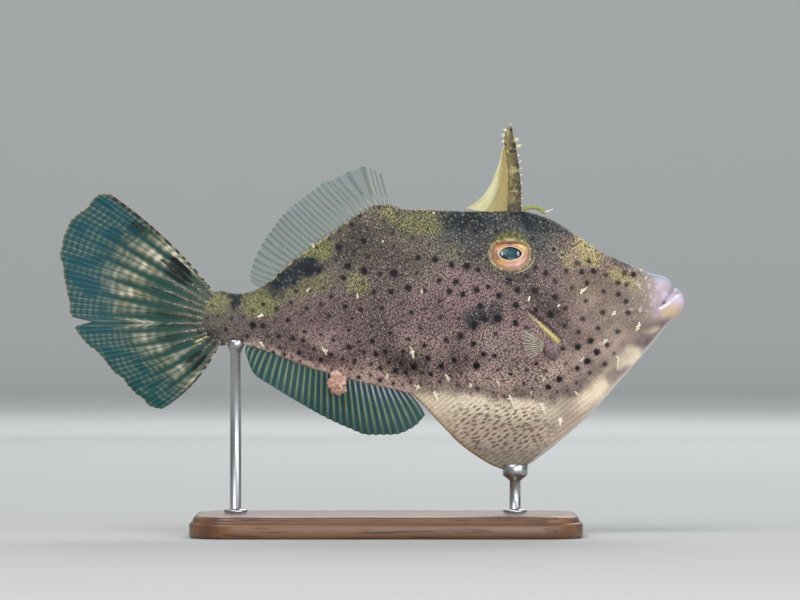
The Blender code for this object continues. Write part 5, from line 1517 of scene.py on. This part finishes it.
soft_flesh = flesh_finish("soft_flesh", 0.45, 0.6)
cheek_y = float(half_width(48.6, -13.4))
lobes = []
for side in SIDES.values():
    middle = (48.9, side * (cheek_y + 0.1), -13.6)
    lobes.append(lump_shell(middle, (2.1, 1.1, 2.4), (112, 92, 98), (138, 120, 120), 101, 0.08))
piece("breast_lobes", joined(lobes), soft_flesh)
vent = lump_shell((-9.4, -2.4, -22.6), (2.6, 1.5, 3.1), (176, 130, 116), (216, 184, 168), 103, 0.24)
piece("vent_lump", vent, soft_flesh)
piece("brow_strap", strap_shell(), soft_flesh)

# %% [markdown]
# Branched tassels of skin break up the outline, so the fish passes for weed. They sit where the
# photograph shows them, with the same on the hidden side and small ones strewn between. A particle
# system would be lost on export, so each is a few thin tubes of mesh, a stem and its
# twigs. A map keeps each tassel's patch at its root, so its colour doesn't bleed into another's.

# %% The tassels
# A tassel is (x, z, length, lean in degrees).
TASSELS = [
    (-29.3, -13.0, 2.4, 95), (-12.3, -15.0, 2.2, 92), (11.4, -16.0, 2.8, 95), (-9.1, -20.6, 1.4, 90),
    (4.3, -22.2, 2.4, 98), (12.1, -25.0, 3.0, 85), (17.9, -27.8, 2.4, 100), (20.9, -22.4, 2.5, 100),
    (26.3, -23.8, 1.6, 60), (34.5, -23.6, 2.0, 90), (38.9, -29.6, 3.0, 112), (47.4, -31.6, 3.4, 116),
    (51.2, -34.2, 2.2, 95), (56.3, -26.2, 3.0, 128), (60.5, -24.6, 2.0, 80), (66.8, -19.0, 2.8, 94),
    (56.4, -16.9, 1.3, 60), (46.2, -22.3, 1.4, 60), (43.3, -26.0, 1.4, 85), (56.0, 1.4, 2.0, 50),
    (49.7, -2.6, 1.3, 50), (42.2, -0.5, 1.2, 60), (65.0, -4.4, 1.2, 50), (71.6, -8.6, 2.1, 62),
    (62.4, -12.2, 2.1, 60), (73.2, 8.0, 1.3, 65), (-17.8, 1.9, 1.2, 50), (-31.0, -4.6, 1.5, 20),
    (-3.8, 0.0, 1.3, 95), (-15.8, 14.0, 1.3, 110), (13.6, 1.4, 1.3, 80), (33.4, -12.6, 1.2, 125),
    (39.4, -45.8, 1.2, 285),
]
TWIG_TURNS, THREAD_SIDES = (-58, 46, -30, 62, 20), 6
UP_THE_SKIN, OFF_THE_SKIN, GROWTH = 0.92, 0.35, 1.3


def stem(root, way, length, thick, bend, steps):
    """A tapering stem: a straight line that bends with the square of the way out."""
    share = np.linspace(0, 1, steps)[:, None]
    path = root + length * (share * way + share**2 * bend)
    radii = thick * (1 - 0.55 * share[:, 0] ** 2)
    return path, radii


def thread(path, radii, root_tint, tip_tint, shade=1.0, **marks):
    """A thin tube along a path, its colour going from root to tip, with marks that are the same all
    over it."""
    colour = np.clip(coats(root_tint, (tip_tint, np.linspace(0, 1, len(path)))) * shade, 0, 1)
    rings = tube(path, radii, THREAD_SIDES)
    marks = {name: np.broadcast_to(mark, rings.shape) for name, mark in marks.items()}
    return rings_shell(rings, paint=np.repeat(colour[:, None], THREAD_SIDES, axis=1), **marks)


def tassel(x, z, length, lean, side, draw):
    """One tassel on one side: a stem out of the skin that turns up along it, with twigs that leave
    it from a third of its height, each on its own turn from the stem's direction."""
    root, out = flank_at(x, z, side)
    turn = math.radians(lean)
    flat = np.array([math.cos(turn), 0, math.sin(turn)])
    along_skin = flat - (flat @ out) * out
    way = UP_THE_SKIN * along_skin + OFF_THE_SKIN * out
    bend = 0.12 * draw.normal(size=3) - 0.12 * out
    shade = draw.uniform(0.85, 1.1)
    length = GROWTH * length
    path, radii = stem(root - 0.4 * out, way, length, 0.24 + 0.05 * length, bend, 9)
    tubes = [(path, radii)]
    sideways = np.cross(out, along_skin)
    for k, degrees in enumerate(TWIG_TURNS):
        turn = math.radians(degrees + draw.uniform(-12, 12))
        twig_way = math.cos(turn) * way + math.sin(turn) * sideways + 0.15 * draw.normal(size=3)
        start = path[3 + k] if 3 + k < 8 else path[-2]
        twig_length = length * draw.uniform(0.16, 0.28)
        tubes.append(stem(start, twig_way, twig_length, 0.25, 0.3 * draw.normal(size=3), 5))
    tints = ((220, 212, 184), (250, 246, 230))
    return [thread(*tube_of, *tints, shade, root=[x, z, side]) for tube_of in tubes]


def tassel_spacing(place):
    """Strewn tassels stand 12 mm apart above the cream belly, with none near the mouth."""
    return 12 if place[1] > cream_line(place[0]) and place[0] < 74 else 0


def all_tassels():
    """Both sides' tassels, and tiny ones strewn over the flanks away from the eye."""
    draw, strewn = np.random.default_rng(111), scattered(113, tassel_spacing, TASSELS)
    shells = []
    for side in SIDES.values():
        for x, z, length, lean in TASSELS:
            jitter = 0 if side < 0 else draw.uniform(-2.5, 2.5)
            shells += tassel(x + jitter, z, length, lean, side, draw)
        for x, z in strewn:
            if abs(float(eye_distance(x, z))) > 1.8:
                shells += tassel(x, z, draw.uniform(0.45, 0.8), draw.uniform(40, 140), side, draw)
    return joined(shells + bead_shells())


# %% White scales round the eye
BEAD_ROWS = [
    [(24.0, 9.5), (26.5, 10.2), (28.5, 9.9), (30.3, 11.2), (31.8, 13.2)],
    [(32.4, 9.4), (34.5, 7.2), (37.0, 4.9), (40.5, 4.2), (44.0, 4.4), (47.2, 3.8)],
]
BEAD_SPACING, BEAD_RADIUS, LID_EDGE = 0.78, 0.18, 1.24


def plain_shell(rings, tint, root):
    """A shell of one colour, with its root: a place of the side view, and the side."""
    marks = {"paint": linear(*tint), "root": root}
    return rings_shell(rings, **{name: np.broadcast_to(mark, rings.shape) for name, mark in marks.items()})


def bead(place, out, radius):
    """One white scale: a small dome, rings of a half circle standing on the skin."""
    up = np.array([[-0.6], [0.0], [0.55], [0.92]])
    wide = np.array([0.8, 1.0, 0.8, 0.25])
    return tube(place + radius * up * out, radius * wide, THREAD_SIDES)


def lid_edge(side):
    """The pale edge of the lower lid: a thin tube that follows the oval of the eye about a quarter
    further out."""
    turn, share = np.radians(np.linspace(-80, 5, 24)), np.linspace(-1, 1, 24)
    x = EYE_AT[0] + LID_EDGE * EYE_HALF[0] * np.cos(turn)
    z = EYE_AT[1] + LID_EDGE * EYE_HALF[1] * np.sin(turn)
    place, out = flank_at(x, z, side)
    rings = tube(place + (relief(x, z) + 0.02)[:, None] * out, 0.05 + 0.13 * (1 - share**2), 8)
    return plain_shell(rings, (178, 170, 146), (EYE_AT[0] + 4, EYE_AT[1] - 4, side))


def bead_shells():
    """Rows of white scales behind and under the eye, and the pale edges of the lower lids."""
    draw = np.random.default_rng(131)
    shells = []
    for side in SIDES.values():
        for row in BEAD_ROWS:
            count = int(np.linalg.norm(np.diff(np.array(row), axis=0), axis=1).sum() / BEAD_SPACING)
            for x, z in along(row)(np.linspace(0, 1, count)) + 0.12 * draw.normal(size=(count, 2)):
                place, out = flank_at(x, z, side)
                rings = bead(place + relief(x, z) * out, out, BEAD_RADIUS * draw.uniform(0.75, 1.1))
                shells.append(plain_shell(rings, (196, 186, 176), (x, z, side)))
        shells.append(lid_edge(side))
    return shells


# %% The map for baking, and the barbs of the spine
PATCH_SCALE, PATCH_HALF = 0.0004, 3.7
MAP_MIDDLE, MAP_LONG, MAP_HIGH = 18, 68, 50


def bake_map(obj, roots):
    """The map named OFBake: every tassel is a patch 0.003 across at its root's place on the skin
    unrolled, right side in the left half and left side in the right half."""
    mesh = obj.data
    corners = np.empty(len(mesh.loops), np.int32)
    mesh.loops.foreach_get("vertex_index", corners)
    points = np.empty(len(mesh.vertices) * 3, np.float32)
    mesh.vertices.foreach_get("co", points)
    points = points.reshape(-1, 3) / MM - [0, 0, AXIS_HEIGHT]
    x, z, side = roots.T
    u = 0.25 + 0.23 * (x - MAP_MIDDLE) / MAP_LONG + np.where(side > 0, 0.5, 0)
    v = 0.5 + 0.46 * z / MAP_HIGH
    u = u + PATCH_SCALE * np.clip(points[:, 0] - x, -PATCH_HALF, PATCH_HALF)
    v = v + PATCH_SCALE * np.clip(points[:, 2] - z, -PATCH_HALF, PATCH_HALF)
    layer = mesh.uv_layers.new(name="OFBake")
    layer.data.foreach_set("uv", np.stack([u, v], axis=1)[corners].ravel().astype(np.float32))


def tassel_finish():
    """Pale skin threads: their own paint, a little darker by clouds, and a soft shine."""
    finish = Finish("skin_threads", Roughness=0.5, IOR=1.4, Specular_IOR_Level=0.35)
    darker = finish.colour(190, 176, 140)
    tinted = finish.mix(finish.clouds(900, 2.0) * 0.3, finish.paint("paint"), darker, "MULTIPLY")
    return finish.gives(Base_Color=tinted)


def barb_shells():
    """The barbs on the spine's front and rear edges, leaning as measured. High up each is a tuft of
    three threads."""
    draw = np.random.default_rng(121)
    shells = []
    for barbs, way in ((FRONT_BARBS, 1), (REAR_BARBS, -1)):
        for height, length, lean in barbs:
            turn = math.radians(lean)
            start = np.array([spine_x(height) + way * spine_long(height) * 0.8, 0, SPINE_FOOT + height])
            ahead = np.array([way * math.cos(turn), 0.1 * draw.normal(), math.sin(turn)])
            for spread in (0.0, 0.35, -0.3) if height > 14 else (0.0,):
                reach, bend = length * (1 - abs(spread) * 0.6), 0.12 * draw.normal(size=3)
                path, radii = stem(start, ahead + [0, 0.6 * spread, spread], reach, 0.2, bend, 7)
                shells.append(thread(path, radii, (190, 180, 130), (240, 234, 212)))
    return joined(shells)


points, faces, marks = all_tassels()
tassel_roots = marks.pop("root")
skin_threads = tassel_finish()
threads = piece("tassels", (points, faces, marks), skin_threads)
bake_map(threads, tassel_roots)
piece("spine_barbs", barb_shells(), skin_threads)

# %% [markdown]
# The stand is a turned-edge board of walnut and two brushed steel rods. Each rod ends in a cup
# with a slot, and the edge of the fish drops into it. The board's outline is a rounded rectangle,
# drawn as rings that shrink towards the top edge, and a rod is a profile spun about its axis.

# %% The stand
BASE_LENGTH, BASE_WIDTH, BASE_HEIGHT, BASE_X, BASE_CORNER = 106.0, 54.0, 6.0, 4.0, 12.0
FRONT_ROD_X, REAR_ROD_X, ROD_RADIUS, GAP = 39.0, -36.9, 1.5, 0.3


def board_shell():
    """Rings of a rounded rectangle from the underside up: each ring is drawn in by a profile that
    rounds the lower edge, steps in once as a bead and rounds the upper edge."""
    per_corner = 20
    turn = np.linspace(0, math.pi / 2, per_corner)
    profile = [
        (1.2, 0), (0.5, 0.12), (0.12, 0.5), (0, 1.1), (0, 3.4), (0.15, 3.9), (0.55, 4.1), (0.8, 4.15),
        (0.95, 4.35), (1.0, 4.9), (1.15, 5.4), (1.5, 5.78), (2.0, 5.96), (2.6, 6.0),
    ]
    rings = []
    for inset, height in profile:
        radius = BASE_CORNER - inset
        ring = []
        for k in range(4):
            angle = k * math.pi / 2 + turn
            sx, sy = ((1, 1), (-1, 1), (-1, -1), (1, -1))[k]
            x = sx * (BASE_LENGTH / 2 - BASE_CORNER) + radius * np.cos(angle)
            y = sy * (BASE_WIDTH / 2 - BASE_CORNER) + radius * np.sin(angle)
            ring.append(np.stack([x + BASE_X, y, np.full(per_corner, height - AXIS_HEIGHT)], axis=1))
        ring = np.roll(np.concatenate(ring), -2 * per_corner + per_corner // 2, axis=0)
        rings.append(ring)
    return rings_shell(np.array(rings))


def rod_shell(x, cup_radius, cup_rise):
    """A rod and its cup: rings of a profile of radius and height from the foot to the rim, then
    rings that close the top, which sinks in a slot where the keel of the fish lies."""
    keel = float(keel_of(x))
    foot, rim_z = BASE_HEIGHT + GAP - AXIS_HEIGHT, keel + cup_rise
    profile = [
        (2.9, foot), (3.15, foot + 0.08), (3.2, foot + 0.25), (3.2, foot + 0.6), (3.05, foot + 0.78),
        (1.75, foot + 0.85), (ROD_RADIUS, foot + 1.1), (ROD_RADIUS, keel - 2.6),
        (ROD_RADIUS + 0.25, keel - 2.3), (cup_radius - 0.25, keel - 1.2), (cup_radius, keel - 0.9),
        (cup_radius, rim_z - 0.25), (cup_radius - 0.2, rim_z),
    ]
    angle = ring_angles(72)
    rings = [np.stack([x + r * np.cos(angle), r * np.sin(angle), z + 0 * angle], axis=1) for r, z in profile]
    for share in np.linspace(1, 0.01, 26)[1:]:
        r = (cup_radius - 0.2) * share
        px, py = x + r * np.cos(angle), r * np.sin(angle)
        slot_half = half_width(px, keel_of(px) + 1.0) + GAP
        floor = keel_of(px) - GAP
        inside = ease(slot_half + 0.12, slot_half, np.abs(py))
        pz = rim_z + (np.minimum(floor, rim_z) - rim_z) * inside
        rings.append(np.stack([px, py, pz], axis=1))
    return rings_shell(np.array(rings))


def walnut():
    """Oiled walnut: long streaks from noise that is stretched along the board, rings from a wave
    bent by noise, and fine dark pores."""
    finish = Finish("oiled_walnut", Specular_IOR_Level=0.4, Coat_Weight=0.25, Coat_Roughness=0.25)
    streaked = finish.place(scale=(0.09, 1, 1))
    figure = finish.clouds(130, 4.0, streaked)
    inputs = {"Vector": finish.place(scale=(0.12, 1, 1)), "Scale": 42, "Distortion": 5.0, "Detail": 3.0}
    waves = finish.node("ShaderNodeTexWave", {"bands_direction": "Y"}, inputs, output=1)
    pores = finish.clouds(1500, 2.0, finish.place(scale=(0.05, 1, 1))).ease(0.56, 0.7)
    wood = finish.mix(figure, finish.colour(74, 46, 30), finish.colour(142, 98, 64))
    wood = finish.mix(waves * 0.55, wood, finish.colour(62, 38, 26))
    wood = finish.mix(pores * 0.6, wood, finish.colour(34, 20, 14))
    finish.bump((1 - pores) + figure * 0.3, 0.00006, 0.7)
    return finish.gives(Base_Color=wood, Roughness=0.36 + pores * 0.25)


def brushed_steel():
    """Steel with fine rings from the brush: noise squeezed along the rod roughens and dents it."""
    finish = Finish("brushed_steel", Metallic=1.0, IOR=2.5)
    brushed = finish.clouds(160, 3.0, finish.place(scale=(1, 1, 30)))
    steel = finish.mix(brushed, finish.colour(150, 152, 156), finish.colour(188, 190, 192))
    finish.bump(brushed, 0.00002, 0.5)
    return finish.gives(Base_Color=steel, Roughness=0.24 + brushed * 0.16)


steel = brushed_steel()
piece("walnut_board", board_shell(), walnut(), ["stand_base"])
piece("front_rod", rod_shell(FRONT_ROD_X, 3.4, 2.0), steel, ["stand_rod_front"])
piece("rear_rod", rod_shell(REAR_ROD_X, 2.3, 1.2), steel, ["stand_rod_rear"])

# %% [markdown]
# The stage is a pale round floor that curves up into a low wall all round, so no horizon shows, and
# the wall behind the fish has a light of its own. The photograph was taken from straight beside
# the fish with a long lens. The camera looks along y at the height of the body, far enough away
# that the near and the far side keep their sizes.

# %% Stage, light and camera
FRAME_WIDTH, FRAME_CENTRE_X = 217.3 * MM, 7.74 * MM
CAMERA_AWAY, SENSOR, STAGE_AROUND = 1.6, 36.0, 96


def stage_floor():
    """A wide dish: a flat round floor that turns up by a quarter circle into a low wall, so that it
    looks the same from every side. Rings of one profile of radius and height."""
    turn = np.linspace(0, math.pi / 2, 24)
    flat, bend, wall = 2.4, 0.6, 1.0
    radii = np.concatenate([[0.01, 0.6, 1.2], flat + bend * np.sin(turn), [flat + bend]])
    heights = np.concatenate([[0.0, 0.0, 0.0], bend * (1 - np.cos(turn)), [wall]])
    angle, radii = ring_angles(STAGE_AROUND), radii[:, None]
    points = np.stack([radii * np.cos(angle), radii * np.sin(angle), heights[:, None] + 0 * angle], axis=-1)
    index = np.arange(len(radii) * STAGE_AROUND).reshape(-1, STAGE_AROUND)
    onward = np.roll(index, -1, axis=1)
    faces = np.stack([index[:-1], index[1:], onward[1:], onward[:-1]], axis=-1).reshape(-1, 4)
    mesh = bpy.data.meshes.new("stage_dish")
    mesh.from_pydata(points.reshape(-1, 3), [], faces.tolist() + [index[0].tolist()])
    mesh.polygons.foreach_set("use_smooth", np.ones(len(mesh.polygons), bool))
    finish = Finish("stage_paper", Roughness=0.9, Specular_IOR_Level=0.1)
    mottled = finish.mix(finish.clouds(3) * 0.2, finish.colour(178, 180, 179), finish.colour(172, 174, 174))
    mesh.materials.append(finish.gives(Base_Color=mottled))
    linked("stage_dish", mesh)


def soft_light(name, place, aim, size, watts, tint=(1, 1, 1)):
    """A square panel of light that faces its aim."""
    light = bpy.data.lights.new(name, "AREA")
    light.energy, light.size, light.color = watts, size, tint
    obj = linked(name, light)
    obj.location = place
    obj.rotation_euler = (Vector(aim) - Vector(place)).to_track_quat("-Z", "Y").to_euler()


def studio():
    """Soft lights round the fish, one on the wall behind it, and an even pale sky."""
    aim = (0, 0, 0.06)
    soft_light("key", (-0.5, -0.9, 1.15), aim, 0.9, 13.5, (1.0, 0.98, 0.95))
    soft_light("fill", (0.95, -0.9, 0.35), aim, 0.8, 6.5, (0.93, 0.97, 1.0))
    soft_light("low fill", (0.15, -0.85, 0.03), aim, 0.45, 4.5, (1.0, 0.98, 0.95))
    soft_light("back", (0.2, 1.1, 0.95), aim, 0.9, 11)
    soft_light("backdrop", (0, 1.0, 1.0), (0, 3.0, 1.25), 1.2, 15)
    world = bpy.data.worlds.new("studio")
    world.use_nodes = True
    sky = world.node_tree.nodes["Background"]
    sky.inputs["Color"].default_value = (0.93, 0.96, 1.0, 1)
    sky.inputs["Strength"].default_value = 0.55
    bpy.context.scene.world = world
    bpy.context.scene.view_settings.view_transform = "Standard"


def camera():
    """The camera of the photograph: level, square to the fish, as wide as the frame at its plane."""
    lens = bpy.data.cameras.new("photo_view")
    lens.sensor_width, lens.lens = SENSOR, SENSOR * CAMERA_AWAY / FRAME_WIDTH
    lens.clip_start, lens.clip_end = 0.05, 20
    obj = linked("photo_view", lens)
    obj.location = (FRAME_CENTRE_X, -CAMERA_AWAY, AXIS_HEIGHT * MM)
    obj.rotation_euler = (math.pi / 2, 0, 0)
    bpy.context.scene.camera = obj


stage_floor()
studio()
camera()
